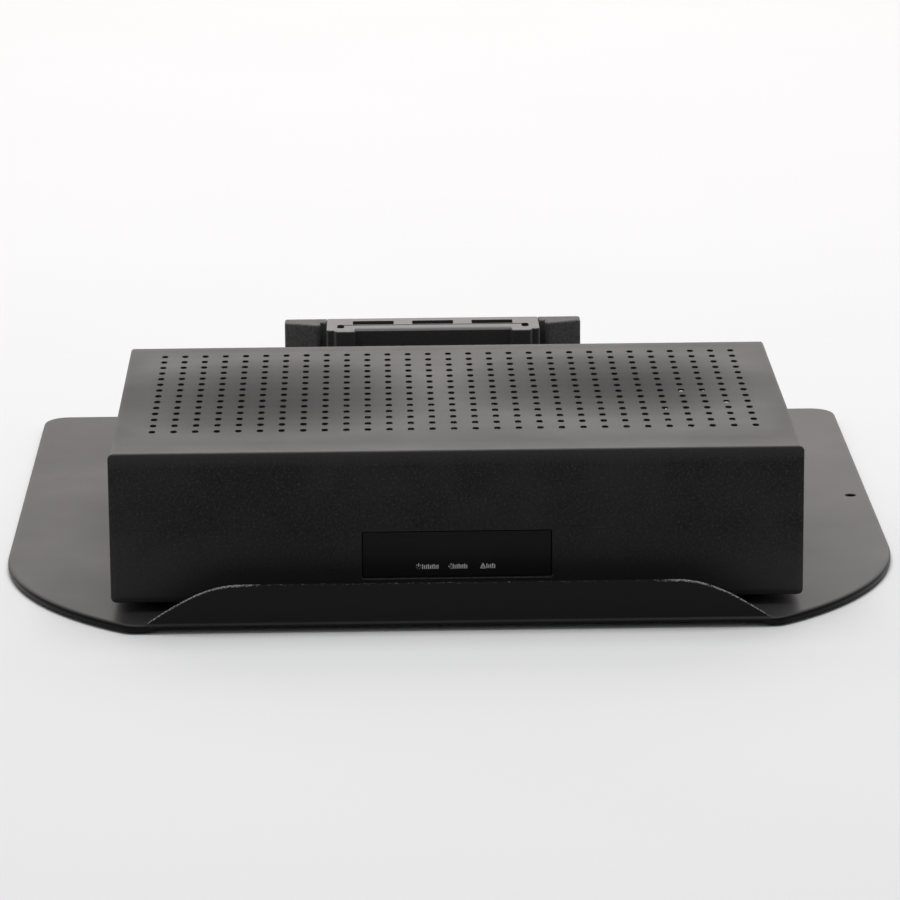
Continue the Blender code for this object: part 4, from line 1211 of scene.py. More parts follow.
def screw_shape(head, shank, length):
    """A pan-head screw along Z with its seat at z = 0 and a cross in its head."""
    height = head * 0.62
    profile = [(shank * 0.6, -length), (shank, -length + shank * 0.5)]
    thread_turns = int(length / THREAD_PITCH)
    for i in range(thread_turns):
        level = -length + shank * 0.6 + (length - shank * 0.9) * i / thread_turns
        profile += [(shank * 0.86, level), (shank, level + 0.0003)]
    profile += [(shank * 0.9, -0.0001), (head * 0.96, 0.0), (head, height * 0.12)]
    dome = [(head * math.cos(t), height * (0.35 + 0.65 * math.sin(t))) for t in (0.0, 0.35, 0.7, 1.0, 1.25)]
    blank = bare_object("screw", turned("z", (0, 0), profile + dome, 24))
    wide, thin, deep = head * 0.56, head * 0.11, height * 0.45
    bars = [block((-a, -b, deep), (a, b, height * 2)) for a, b in ((wide, thin), (thin, wide))]
    for bar in bars:
        carved(blank, bar)
    shape = bmesh.new()
    shape.from_mesh(blank.data)
    bpy.data.objects.remove(blank)
    return shape


copies(
    "bracket_screws", screw_shape(0.0038, 0.0019, 0.0055), foot_screw_spots, black_steel,
    "black_screw", "carrier", *[f"bracket_screw_{corner}" for corner in CORNERS],
)

COVER_SCREW_Z = 0.0095
COVER_SCREW_YS = (0.04, 0.18)
for side, name, facing in ((-1, "left", FACE_LEFT), (1, "right", FACE_RIGHT)):
    spots = [in_case(side * (case_width / 2 + GAP), y, COVER_SCREW_Z) for y in COVER_SCREW_YS]
    copies(
        f"cover_screws_{name}", screw_shape(0.003, 0.0014, 0.006), spots, black_steel,
        "black_screw", "recorder", *[f"cover_screw_{name}_{end}" for end in ("front", "rear")],
        turn=facing,
    )

carved(cover, *[
    turned("x", in_case(0, y, COVER_SCREW_Z).yz, [(0.0018, side * 0.15), (0.0018, side * 0.17)], 16)
    for y in COVER_SCREW_YS
    for side in (-1, 1)
])
finished(cover, case_coat, "case_coat", "recorder", "top_cover")
print("screws placed, cover finished")

# %% [markdown]
# ## The moulded front
#
# The front is one moulding: a flat face, a faint slope all round that meets the sides in a small
# radius, and a skirt behind it that slides into the cover. The face looks flat and black, so the
# slope matters: it shows as a slightly lighter band along the top, which the front's finish also
# paints in as a highlight. Two posts behind the face hold the narrow board of the indicators.

# %% Front moulding
COVER_FRONT = 0.0023
BEZEL_FACE = 0.0025
BEZEL_CORNER = 0.0024
BEZEL_OVERHANG = 0.0009
BEZEL_SKIRT_DEPTH = 0.0095
BEZEL_SKIRT_WALL = 0.0018
WINDOW_WIDTH, WINDOW_HEIGHT = 0.0868, 0.0221
WINDOW_CENTRE_Z = 0.02135
WINDOW_SETBACK = 0.0007

# (inset from the sides, depth behind the face), from the face to the skirt
FRONT_SLOPE = [(0.004, 0.0), (0.0028, 0.0), (0.0022, 0.0001), (0.0006, 0.00062)]
FRONT_SLOPE += [(0.00028, 0.00078), (0.00008, 0.00104), (0.0, 0.0014)]
# (growth beyond the opening, depth behind the face), from the back to the face
WINDOW_RIM = [(0.0, BEZEL_FACE), (0.0, 0.0003), (0.00006, 0.00012), (0.00022, 0.0), (0.0012, 0.0)]


def bezel_ring(inset, depth, overhang=0.0):
    centre = (case_origin.x, case_origin.z + case_height / 2)
    radius = max(BEZEL_CORNER - inset, 0.0003)
    wide = case_width + 2 * (overhang - inset)
    outline = rounded(centre, wide, case_height - 2 * inset, radius, 6)
    return [(x, case_origin.y + depth, z) for x, z in outline]


def window_ring(grow, depth, corner=0.0008):
    outline = rounded(window_centre, WINDOW_WIDTH + 2 * grow, WINDOW_HEIGHT + 2 * grow, corner + grow, 6)
    return [(x, case_origin.y + depth, z) for x, z in outline]


window_centre = (case_origin.x, case_origin.z + WINDOW_CENTRE_Z)
skirt = COVER_SHEET + GAP
skirt_inside = skirt + BEZEL_SKIRT_WALL
behind = [
    (skirt, COVER_FRONT - GAP), (skirt, BEZEL_SKIRT_DEPTH),
    (skirt_inside, BEZEL_SKIRT_DEPTH), (skirt_inside, BEZEL_FACE),
]
front_rings = [window_ring(*step) for step in WINDOW_RIM]
outside = FRONT_SLOPE + [(0.0, COVER_FRONT - GAP)]
front_rings += [bezel_ring(*step, BEZEL_OVERHANG) for step in outside]
front_rings += [bezel_ring(*step) for step in behind]

FRONT_BOARD_Y = 0.012
BOARD_POST_XS, BOARD_POST_Z = (-0.0505, 0.0505), 0.031
post_root, post_tip = case_origin.y + BEZEL_FACE, case_origin.y + FRONT_BOARD_Y - GAP
post_profile = [(0.003, post_root - 0.0004), (0.0028, post_root + 0.001)]
post_profile += [(0.0027, post_tip - 0.0003), (0.0024, post_tip)]
board_posts = [turned("y", in_case(x, 0, BOARD_POST_Z).xz, post_profile, 24) for x in BOARD_POST_XS]
piece(
    "moulded_front", merged(skinned(front_rings, closed=True), *board_posts),
    front_moulding, "black_moulding", "recorder", "front_bezel",
)
print("front rings:", len(front_rings))

# %% [markdown]
# ## The window and its marks
#
# The window is a smoked lens, set a little behind the face and held by a flange behind the opening.
# Three small printed marks stand under the indicators. They are plain symbols: a broken ring for
# standby, a dot with two arcs for the remote receiver, and a triangle for an alert, each followed by
# a short row of bars. The lower edge of the opening catches the light, and a thin pale line is painted
# along it as a highlight.

# %% Window
lens_levels = [(-GAP - 0.0008, 0), (-GAP - 0.00045, 0), (-GAP - 0.00012, 0.00006), (-GAP, 0.0003)]
lens_levels = [(grow, WINDOW_SETBACK + depth) for grow, depth in lens_levels]
lens_levels += [(-GAP, BEZEL_FACE + GAP), (0.003, BEZEL_FACE + GAP), (0.003, 0.004)]
lens_rings = [window_ring(grow, depth, 0.0006 - grow) for grow, depth in lens_levels]
piece("smoked_window", skinned(lens_rings), smoked_lens, "smoked_lens", "recorder", "display_window")
print("lens rings:", len(lens_rings))

# %% Printed strokes
MARK_Z = 0.0155
MARK_STROKE = 0.0004
BAR_PITCH, BAR_WIDE, BAR_TALL = 0.00088, 0.00048, 0.0017
BAR_SHARES = (1.0, 0.72, 0.86)
# (front, back) of a print on the lens and on the moulding round it
LENS_PRINT = (WINDOW_SETBACK - 0.00004, WINDOW_SETBACK + 0.00004)
BEZEL_PRINT = (-0.00004, 0.0001)


def printed(corners, levels):
    outline = [(case_origin.x + x, case_origin.z + z) for x, z in corners]
    return prism(outline, "y", *[case_origin.y + level for level in levels])


def stroke(points, wide=MARK_STROKE, levels=LENS_PRINT):
    """A printed line through (x, z) points, as thin quads just proud of the surface."""
    shapes = []
    for start, end in zip(points, points[1:]):
        run = Vector((end[0] - start[0], end[1] - start[1]))
        aside = Vector((-run.y, run.x)).normalized() * wide / 2
        tip = run.normalized() * wide / 2
        first, last = Vector(start) - tip, Vector(end) + tip
        corners = [first - aside, last - aside, last + aside, first + aside]
        shapes.append(printed(corners, levels))
    return shapes


def bars(start, count):
    """A short row of little upright bars."""
    shapes = []
    foot = MARK_Z - BAR_TALL / 2
    for i in range(count):
        x = start + BAR_PITCH * i
        shapes += stroke([(x, foot), (x, foot + BAR_TALL * BAR_SHARES[i % 3])], BAR_WIDE)
    return shapes


print("a stroke is", MARK_STROKE, "wide")

# %% Marks on the window


def standby_mark(x):
    ring = arc((x, MARK_Z), 0.00105, QUARTER_TURN * 1.5, QUARTER_TURN * 4.5, 12)
    return stroke(ring) + stroke([(x, MARK_Z + 0.0002), (x, MARK_Z + 0.0014)])


def remote_mark(x):
    shapes = stroke([(x - 0.0001, MARK_Z), (x + 0.0001, MARK_Z)], 0.0004)
    for radius in (0.0008, 0.0015):
        shapes += stroke(arc((x, MARK_Z), radius, -QUARTER_TURN / 2, QUARTER_TURN / 2, 6))
    return shapes


def alert_mark(x):
    corners = [(x - 0.0011, MARK_Z - 0.001), (x + 0.0011, MARK_Z - 0.001), (x, MARK_Z + 0.0012)]
    return stroke(corners + corners[:1]) + stroke([(x, MARK_Z - 0.0004), (x, MARK_Z + 0.0002)], 0.0003)


mark_shapes = standby_mark(-0.0176) + bars(-0.0158, 9)
mark_shapes += remote_mark(-0.0038) + bars(-0.0018, 8)
mark_shapes += alert_mark(0.0118) + bars(0.0136, 5)
window_marks = piece("window_marks", merged(*mark_shapes), window_print, "smoked_lens", "recorder")
print("marks:", len(window_marks.data.polygons), "faces")

# %% Edge of the window
# painted highlight: a thin pale strip along the lower edge of the opening, where it catches the light
EDGE_WIDE = 0.0004
half_w, half_h = WINDOW_WIDTH / 2 + 0.0003, WINDOW_HEIGHT / 2 + 0.0003
lower = WINDOW_CENTRE_Z - half_h
edge_line = [(-half_w, lower + 0.001), (-half_w + 0.0001, lower + 0.0003), (-half_w + 0.0004, lower)]
edge_line += [(-x, z) for x, z in reversed(edge_line)]
rim_highlight_strip = merged(*stroke(edge_line, EDGE_WIDE, BEZEL_PRINT))
piece("window_worn_edge", rim_highlight_strip, lens_rim_highlight, "black_moulding", "recorder")
print("rim highlight:", len(edge_line) - 1, "strokes")

# %% [markdown]
# ## The rear panel
#
# Everything that is plugged in goes to the rear: four video inputs, the network, a serial and a
# display socket, the mains inlet with its switch, and the fan's outlet. The panel is flat sheet, so
# it is one prism with its openings cut out. The outlet's slots follow the circle of the fan.

# %% Places on the rear panel
REAR_Y = 0.2097
OUTER_Y = REAR_Y + COVER_SHEET
CENTRE_LINE_Z = 0.02
VIDEO_XS = (0.000, 0.022, 0.044, 0.066)
# (centre x, width, low z, high z) of each rectangular opening
NETWORK = (-0.0235, 0.016, 0.0089, 0.0222)
SERIAL = (-0.0445, 0.0145, 0.0089, 0.0158)
DISPLAY = (0.088, 0.015, 0.0089, 0.0148)
INLET = (-0.136, 0.02, 0.014, 0.029)
SWITCH = (-0.109, 0.013, 0.012, 0.032)
FAN_X, FAN_Z, FAN_SIDE = 0.126, 0.036, 0.04
FAN_SCREW = 0.016
SLOT_ROWS, SLOT_RISE = 7, 0.0048

rear_low, rear_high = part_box("rear_panel")
print("rear panel is", round(rear_high.x - rear_low.x, 4), "by", round(rear_high.z - rear_low.z, 4))

# %% Rear panel


def rear_block(centre_x, width, low, high, near, far, corner=0.0006):
    """A block with rounded long edges, in the recorder's own measures, from y = near to far."""
    middle = in_case(centre_x, 0, (low + high) / 2)
    outline = rounded((middle.x, middle.z), width, high - low, corner, 4)
    return prism(outline, "y", case_origin.y + near, case_origin.y + far)


def rear_turned(x, z, profile, sides=32):
    """A turned shape about an axis that points to the rear. Levels are the recorder's own y."""
    middle = in_case(x, 0, z)
    return turned("y", (middle.x, middle.z), [(r, case_origin.y + y) for r, y in profile], sides)


def rear_openings():
    near, far = REAR_Y - 0.004, OUTER_Y + 0.004
    shapes = [rear_turned(x, CENTRE_LINE_Z, [(0.0068, near), (0.0068, far)]) for x in VIDEO_XS]
    for centre_x, width, low, high in (NETWORK, SERIAL, DISPLAY, INLET, SWITCH):
        shapes.append(rear_block(centre_x, width + 2 * GAP, low - GAP, high + GAP, near, far))
    reach = FAN_SIDE / 2 - 0.0025
    for row in range(SLOT_ROWS):
        rise = (row - (SLOT_ROWS - 1) / 2) * SLOT_RISE
        half = math.sqrt(reach**2 - rise**2)
        level = FAN_Z + rise
        shapes.append(rear_block(FAN_X, 2 * half, level - 0.0014, level + 0.0014, near, far, 0.0013))
    return shapes


rear_middle = (rear_low + rear_high) / 2
panel_outline = rounded(
    (rear_middle.x, rear_middle.z), rear_high.x - rear_low.x, rear_high.z - rear_low.z, 0.001, 4
)
rear_panel = piece(
    "rear_panel_sheet", prism(panel_outline, "y", rear_low.y, rear_high.y),
    case_coat, "case_coat", "recorder", "rear_panel", cut=rear_openings(), edge=(0.00015, 2, 60),
)
print("panel:", len(rear_panel.data.polygons), "faces")

# %% Screws and marks of the rear panel
DOT_RADIUS, DOT_PITCH, DOT_RISE = 0.0006, 0.0022, 0.0115
fan_corners = [(FAN_X + side * FAN_SCREW, FAN_Z + rise * FAN_SCREW) for side in (-1, 1) for rise in (-1, 1)]
fan_screw_spots = [in_case(x, OUTER_Y, z) for x, z in fan_corners]
panel_screw_spots = [in_case(x, OUTER_Y, 0.062) for x in (-0.145, -0.06, 0.03)]
copies(
    "rear_panel_screws", screw_shape(0.0027, 0.0011, 0.002), fan_screw_spots + panel_screw_spots,
    black_steel, "black_screw", "recorder", turn=FACE_REAR,
)

dot_spots = [
    in_case(x + (dot - count / 2) * DOT_PITCH, OUTER_Y, CENTRE_LINE_Z + DOT_RISE)
    for count, x in enumerate(VIDEO_XS)
    for dot in range(count + 1)
]
dot = turned("y", (0, 0), [(DOT_RADIUS, -0.0002), (DOT_RADIUS, 0.00004)], 12)
copies("input_number_dots", dot, dot_spots, pale_print, "case_coat", "recorder")
print(len(dot_spots), "dots count the inputs")

# %% [markdown]
# ## Video inputs
#
# Each input is a turned bayonet barrel with two lugs, held by a washer and a hexagon nut, with a
# white insulator and a gilt contact sleeve inside. One input is made round the origin, and the tree
# for copies on points repeats it.

# %% Tubes and nuts


def tube(profile, sides=32):
    """A hollow turned shape about Y: `profile` is a closed loop of (radius, level)."""
    rings = [[along("y", a, u, level) for a, u in circle((0, 0), r, sides)] for r, level in profile]
    return skinned(rings, closed=True)


def hexagon_nut(flat_radius, hole, start, end, steps=6):
    """A nut about Y with a round hole and slightly turned-down corners."""
    sides = 6 * steps
    turns = [2 * HALF_TURN * i / sides for i in range(sides)]
    sector = HALF_TURN / 3

    def ring(level, hexagonal, limit=1.0):
        points = []
        for turn in turns:
            off = (turn + sector / 2) % sector - sector / 2
            radius = min(flat_radius / math.cos(off), flat_radius * limit) if hexagonal else hole
            points.append((radius * math.cos(turn), level, radius * math.sin(turn)))
        return points

    chamfer = (end - start) * 0.2
    return skinned([
        ring(start, False), ring(end, False), ring(end, True, 1.04), ring(end - chamfer, True, 1.2),
        ring(start, True, 1.2),
    ], closed=True)


print("a nut has", len(hexagon_nut(0.0069, 0.0058, 0.0, 0.002).faces), "faces")

# %% Video inputs
video_spots = [in_case(x, OUTER_Y, CENTRE_LINE_Z) for x in VIDEO_XS]
shell_body = block((-0.007, 0.185 - OUTER_Y, 0.0089 - CENTRE_LINE_Z), (0.007, 0.1965 - OUTER_Y, 0.0075))
barrel = tube([
    (0.0034, -0.013), (0.0034, 0.0126), (0.0038, 0.013), (0.0045, 0.013), (0.0048, 0.0127),
    (0.0048, 0.0106), (0.0046, 0.0104), (0.0046, 0.0076), (0.0048, 0.0074), (0.0048, 0.003),
    (0.0056, 0.0026), (0.006, 0.0022), (0.006, -0.013),
])
bayonet_lugs = [
    turned("z", (0, 0.009), [(0.0009, side * 0.0036), (0.0009, side * 0.0052), (0.0006, side * 0.0054)], 16)
    for side in (-1, 1)
]
washer = tube([(0.0061, 0.0), (0.0061, 0.0004), (0.0079, 0.0004), (0.008, 0.0003), (0.008, 0.0)])
nut = hexagon_nut(0.0069, 0.0058, 0.0004, 0.0022)
video_shells = copies(
    "video_inputs", merged(shell_body, barrel, *bayonet_lugs, washer, nut), video_spots, nickel,
    "nickel", "recorder", *[f"video_socket_{count}" for count in range(1, 5)],
)
insulator = tube([
    (0.001, -0.012), (0.001, 0.0062), (0.0014, 0.0068), (0.0033, 0.0068), (0.0033, -0.012),
])
copies("video_insulators", insulator, video_spots, white_insulator, "nickel", "recorder")
sleeve = tube([
    (0.0005, -0.01), (0.0005, 0.0082), (0.0008, 0.0084), (0.00095, 0.008), (0.00095, -0.01),
], 16)
copies("video_contacts", sleeve, video_spots, gold, "nickel", "recorder")
print("video inputs:", len(video_shells.data.polygons), "faces")

# %% [markdown]
# ## The flat sockets
#
# The network, serial and display sockets are pressed shells with a shaped mouth. What makes them
# readable is inside: the step for the latch, the tongue, and a row of gilt contacts.

# %% Network socket
SHELL_FACE = OUTER_Y + 0.0006
WIRE_PITCH = 0.00102


def socket_shell(node, name, size, depth, mouth_cutters):
    """A pressed shell with its mouth cut in."""
    shell = rear_block(*size, SHELL_FACE - depth, SHELL_FACE)
    piece(name, shell, nickel, "nickel", "recorder", node, cut=mouth_cutters, edge=(0.00015, 2, 60))


x, width, low, high = NETWORK
middle = (low + high) / 2
socket_shell("network_socket", "network_shell", NETWORK, 0.02, [
    rear_block(x, 0.0118, middle - 0.0035, middle + 0.0035, SHELL_FACE - 0.013, SHELL_FACE + 0.002, 0.0003),
])
latch_step = rear_block(
    x, 0.0117, middle - 0.00345, middle - 0.002, SHELL_FACE - 0.0125, SHELL_FACE - 0.0006, 0.0001
)
latch_way = rear_block(x, 0.0062, middle - 0.0027, middle, SHELL_FACE - 0.014, SHELL_FACE + 0.01, 0.0001)
piece("network_latch_step", latch_step, chip_resin, "nickel", "recorder", cut=[latch_way])
liner = rear_block(
    x, 0.0117, middle - 0.00345, middle + 0.00345, SHELL_FACE - 0.0129, SHELL_FACE - 0.011, 0.0002
)
piece("network_liner", liner, chip_resin, "nickel", "recorder")
wire = skinned([
    [(-w, y, z), (w, y, z), (w, y, z + 0.0002), (-w, y, z + 0.0002)]
    for w, y, z in ((0.0002, 0.0, 0.001), (0.0002, 0.0065, 0.003), (0.0002, 0.0078, 0.0032))
])
wire_spots = [in_case(x + (i - 3.5) * WIRE_PITCH, SHELL_FACE - 0.0108, middle) for i in range(8)]
copies("network_contacts", wire, wire_spots, gold, "nickel", "recorder")
lamp = turned("y", (0, 0), [(0.0009, -0.002), (0.0009, 0.0001), (0.0006, 0.0004)], 16)
lamp_spots = [in_case(x + side * 0.0062, SHELL_FACE, high - 0.0016) for side in (-1, 1)]
copies("network_lamps", lamp, lamp_spots, led_resin, "led_resin", "recorder")
print("network socket done")

# %% Serial and display sockets
for node, size, depth, mouth, tongue, count, pitch in (
    ("serial_socket", SERIAL, 0.017, (0.0122, 0.0046, 0.012), (0.0108, 0.0016, -0.0006), 4, 0.0022),
    ("display_socket", DISPLAY, 0.014, (0.012, 0.0036, 0.008), (0.01, 0.0009, 0.0), 9, 0.001),
):
    x, width, low, high = size
    middle = (low + high) / 2
    wide, tall, deep = mouth
    cutter = rear_block(
        x, wide, middle - tall / 2, middle + tall / 2, SHELL_FACE - deep, SHELL_FACE + 0.002, 0.0006
    )
    socket_shell(node, node.replace("socket", "shell"), size, depth, [cutter])
    tongue_wide, thick, shift = tongue
    base = middle + shift
    tongue_block = rear_block(
        x, tongue_wide, base - thick / 2, base + thick / 2, SHELL_FACE - deep, SHELL_FACE - 0.0014, 0.0003
    )
    piece(node.replace("socket", "tongue"), tongue_block, chip_resin, "nickel", "recorder")
    pad = block((-pitch * 0.3, 0.0, 0.0), (pitch * 0.3, deep - 0.003, 0.00012))
    pad_spots = [
        in_case(x + (i - (count - 1) / 2) * pitch, SHELL_FACE - deep + 0.001, base + thick / 2 - 0.00002)
        for i in range(count)
    ]
    copies(node.replace("socket", "contacts"), pad, pad_spots, gold, "nickel", "recorder")
print("flat sockets done,", len(made_pieces), "pieces so far")

# %% [markdown]
# ## Mains inlet and switch
#
# The inlet is the small two-pole kind, with a recess like a figure eight and two round pins. The
# switch is a rocker in a snap-in body. Its paddle is hollowed along the middle, so that a fingertip
# finds either end, and carries the usual bar and ring.

# %% Mains inlet
x, width, low, high = INLET
middle = (low + high) / 2
inlet = bare_object("inlet_body", rear_block(x, width, low, high, OUTER_Y - 0.018, OUTER_Y + 0.0012, 0.0008))
edged(inlet, 0.0003, 3, 60)
carved(inlet, rear_block(
    x, 0.017, middle - 0.0043, middle + 0.0043, OUTER_Y - 0.012, OUTER_Y + 0.01, 0.0042
))
finished(inlet, black_moulding, "black_moulding", "recorder", "mains_inlet")
pin = turned("y", (0, 0), [(0.0012, -0.014), (0.0012, -0.0031), (0.001, -0.0026), (0.0006, -0.0024)], 20)
pin_spots = [in_case(x + side * 0.0043, OUTER_Y, middle) for side in (-1, 1)]
copies("inlet_pins", pin, pin_spots, nickel, "black_moulding", "recorder")
print("inlet done")

# %% Switch
ROCKER_TILT = math.radians(10)
ROCKER_Y = 0.2065
x, width, low, high = SWITCH
middle = (low + high) / 2
switch_block = rear_block(x, width, low, high, OUTER_Y - 0.016, OUTER_Y + 0.0006, 0.0008)
switch = bare_object("switch_housing", switch_block)
edged(switch, 0.00025, 3, 60)
carved(switch, rear_block(x, 0.0096, low + 0.0018, high - 0.0018, OUTER_Y - 0.0095, OUTER_Y + 0.01, 0.0004))
finished(switch, black_moulding, "black_moulding", "recorder", "switch_body")

rocker_pivot = in_case(x, ROCKER_Y, middle)
PADDLE_REACH, PADDLE_FACE, PADDLE_CROWN, PADDLE_BACK = 0.0068, 0.0052, 0.0038, 0.0045


def paddle_face(across):
    """How far the paddle's hollowed face stands out at a place along it."""
    share = abs(across) / PADDLE_REACH
    return PADDLE_CROWN + (PADDLE_FACE - PADDLE_CROWN) * share**1.6


def tilted(shape):
    """The shape turned with the paddle into its rest position."""
    turn = Matrix.Rotation(ROCKER_TILT, 3, "X")
    bmesh.ops.rotate(shape, cent=rocker_pivot, matrix=turn, verts=shape.verts)
    return shape


places = [PADDLE_REACH * (i / 6 - 1) for i in range(13)]
paddle_outline = [(-PADDLE_REACH, 0.0)] + [(a, paddle_face(a)) for a in places]
paddle_outline += [(PADDLE_REACH, 0.0), (0.0, -PADDLE_BACK)]
paddle = prism(
    [(rocker_pivot.y + rise, rocker_pivot.z + across) for across, rise in paddle_outline],
    "x", rocker_pivot.x - 0.0043, rocker_pivot.x + 0.0043,
)
piece(
    "rocker_paddle", tilted(paddle), gloss_moulding, "gloss_moulding", "power_rocker", "rocker",
    edge=(0.0003, 3, 50),
)
print("switch and paddle done")

# %% Marks of the switch
PADDLE_STROKE = 0.00032
PADDLE_RING, RING_SIDES, RING_PLACE = 0.0011, 14, -0.004


def on_paddle(points):
    """A thin printed line on the paddle's face through (x, along) points."""
    shapes = []
    for (x0, a0), (x1, a1) in zip(points, points[1:]):
        run = Vector((x1 - x0, a1 - a0)).normalized() * PADDLE_STROKE / 2
        aside = Vector((-run.y, run.x))
        corners = [
            Vector((x0, a0)) - run - aside, Vector((x1, a1)) + run - aside,
            Vector((x1, a1)) + run + aside, Vector((x0, a0)) - run + aside,
        ]
        shapes.append(skinned([
            [rocker_pivot + Vector((c.x, paddle_face(c.y) + out, c.y)) for c in corners]
            for out in (-0.0001, 0.00004)
        ]))
    return shapes


ring_mark = arc((0.0, RING_PLACE), PADDLE_RING, 0, 2 * HALF_TURN, RING_SIDES)
bar_mark = [(0.0, 0.003), (0.0, 0.005)]
marks = tilted(merged(*on_paddle(ring_mark), *on_paddle(bar_mark)))
piece("rocker_marks", marks, pale_print, "gloss_moulding", "power_rocker")
print("ring and bar printed on the paddle")

# %% [markdown]
# ## The fan
#
# A 40 mm fan blows out through the slots. The frame is one moulding with a spider of three arms. The
# rotor turns on its own body, so it is a separate piece: a hub with seven twisted blades, which the
# ring tree sets round the axis.

# %% Fan frame
FAN_DEPTH = 0.01
FAN_REAR = REAR_Y - GAP
FAN_FRONT = FAN_REAR - FAN_DEPTH
fan_frame = bare_object("fan_housing", rear_block(
    FAN_X, FAN_SIDE, FAN_Z - FAN_SIDE / 2, FAN_Z + FAN_SIDE / 2, FAN_FRONT, FAN_REAR, 0.003
))
bore_profile = [
    (0.0198, FAN_FRONT - 0.001), (0.0194, FAN_FRONT + 0.0008), (0.0188, FAN_FRONT + 0.0022),
    (0.0188, FAN_REAR + 0.001),
]
fixing_profile = [(0.0017, FAN_FRONT - 0.001), (0.0017, FAN_REAR + 0.001)]
fixing_holes = [rear_turned(x, z, fixing_profile, 16) for x, z in fan_corners]
carved(fan_frame, rear_turned(FAN_X, FAN_Z, bore_profile, 48))
carved(fan_frame, *fixing_holes)
spider = [rear_turned(FAN_X, FAN_Z, [
    (0.008, FAN_REAR - 0.0016), (0.0085, FAN_REAR - 0.0013), (0.0085, FAN_REAR),
])]
for arm in range(3):
    spoke = block((0.007, FAN_REAR - 0.0015, -0.001), (0.0192, FAN_REAR - 0.0001, 0.001))
    turn = Matrix.Rotation(QUARTER_TURN + arm * 2 * HALF_TURN / 3, 3, "Y")
    bmesh.ops.rotate(spoke, cent=(0, 0, 0), matrix=turn, verts=spoke.verts)
    bmesh.ops.translate(spoke, verts=spoke.verts, vec=in_case(FAN_X, 0, FAN_Z))
    spider.append(spoke)
piece("fan_spider", merged(*spider), black_moulding, "black_moulding", "recorder", edge=(0.0002, 2, 60))
edged(fan_frame, 0.0002, 2, 60)
finished(fan_frame, black_moulding, "black_moulding", "recorder", "fan_frame")
print("frame and spider done")

# %% Fan rotor
HUB_REAR = FAN_REAR - 0.0016 - GAP
BLADES = 7
BLADE_ROOT, BLADE_REACH = 0.007, 0.0107
BLADE_FRONT, BLADE_REAR = FAN_FRONT + 0.0014, HUB_REAR - 0.0004


def blade_ring(radius):
    """A thin curved blade section at one radius, drawn round the origin."""
    share = (radius - BLADE_ROOT) / BLADE_REACH
    thick = 0.0005 - 0.0001 * share
    points = []
    for i in range(5):
        along_depth = i / 4
        y = BLADE_FRONT + (BLADE_REAR - BLADE_FRONT) * along_depth
        z = -0.0026 - 0.0004 * share + 0.0055 * along_depth - 0.0008 * math.sin(HALF_TURN * along_depth)
        points.append((y, z))
    loop = [(y, z + thick) for y, z in points] + [(y, z - thick) for y, z in reversed(points)]
    return [Vector((radius, y, z)) for y, z in loop]


blade = skinned([blade_ring(BLADE_ROOT + BLADE_REACH * i / 5) for i in range(6)])
fan_centre = in_case(FAN_X, 0, FAN_Z)
ring_of("fan_blades", blade, BLADES, fan_centre, black_moulding, "black_moulding", "fan_rotor")
hub = rear_turned(FAN_X, FAN_Z, [
    (0.0066, FAN_FRONT + 0.0006), (0.0078, FAN_FRONT + 0.0008), (0.0084, FAN_FRONT + 0.0016),
    (0.0084, HUB_REAR - 0.0003), (0.0081, HUB_REAR),
], 40)
piece("fan_hub", hub, black_moulding, "black_moulding", "fan_rotor", "fan_rotor")
print("fan done,", len(made_pieces), "pieces so far")

# %% [markdown]
# ## Inside the case
#
# The inside is seen only in slivers, through the perforations and the fan's slots, but it is all
# there, as in the real recorder. Sheet parts and bought-in parts that are right as they stand in the CAD
# model stay, and get their finish here. A loop gives each one the material of what it is made of.

# %% Finishes for the parts that stay


def dressed(finish, *nodes):
    """Coat parts of the CAD model with a finish."""
    for node in nodes:
        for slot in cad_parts[node].material_slots:
            slot.material = finish.material


dressed(zinc_steel, "chassis_tray", "drive_bridge")
dressed(board_lacquer, "front_board")
dressed(chip_resin, "remote_receiver", "processor")
dressed(led_resin, "indicator_standby", "indicator_remote", "indicator_alert")
dressed(cast_alloy, "drive_base")
dressed(ribbon_grey, "ribbon_cable")
dressed(cable_red, "drive_cable")
print("kept CAD parts are dressed")

# %% [markdown]
# ## Boards
#
# A board is a lacquered plate with its parts soldered on. The small parts are chosen by a seeded
# draw: a place is kept when it is free of the sockets, the screws, the heatsink and its neighbours.
# The tree for copies on points then sets one small shape at all the places of its kind.

# %% Board plates
BOARD_SHEET = 0.0016
BOARD_LOW = 0.007
BOARD_TOP = BOARD_LOW + BOARD_SHEET
BOARD_HOLE_RADIUS = 0.0016


def case_block(low, high):
    """A block given in the recorder's own measures."""
    return block(in_case(*low), in_case(*high))


def board_plate(name, low, high, bosses, node):
    """A board with a hole over every boss."""
    hole = [(BOARD_HOLE_RADIUS, case_origin.z), (BOARD_HOLE_RADIUS, 0.05)]
    piece(
        name, case_block((*low, BOARD_LOW), (*high, BOARD_TOP)),
        board_lacquer, "solder_mask", "recorder", node,
        cut=[turned("z", in_case(x, y, 0), hole, 20) for x, y in bosses], edge=(0.00015, 2, 60),
    )


main_bosses = [(x, y) for x in (-0.052, 0.144) for y in (0.08, 0.19)]
power_bosses = [(x, y) for x in (-0.144, -0.074) for y in (0.08, 0.175)]
board_plate("main_board_plate", (-0.058, 0.072), (0.15, 0.1985), main_bosses, "main_board")
board_plate("power_board_plate", (-0.15, 0.072), (-0.066, 0.182), power_bosses, "power_board")
copies(
    "board_screws", screw_shape(0.0026, 0.001, 0.0052),
    [in_case(x, y, BOARD_TOP + GAP) for x, y in main_bosses], zinc_steel,
    "zinc_steel", "recorder", *[f"board_screw_{corner}" for corner in CORNERS],
)
print("boards:", len(main_bosses) + len(power_bosses), "holes")

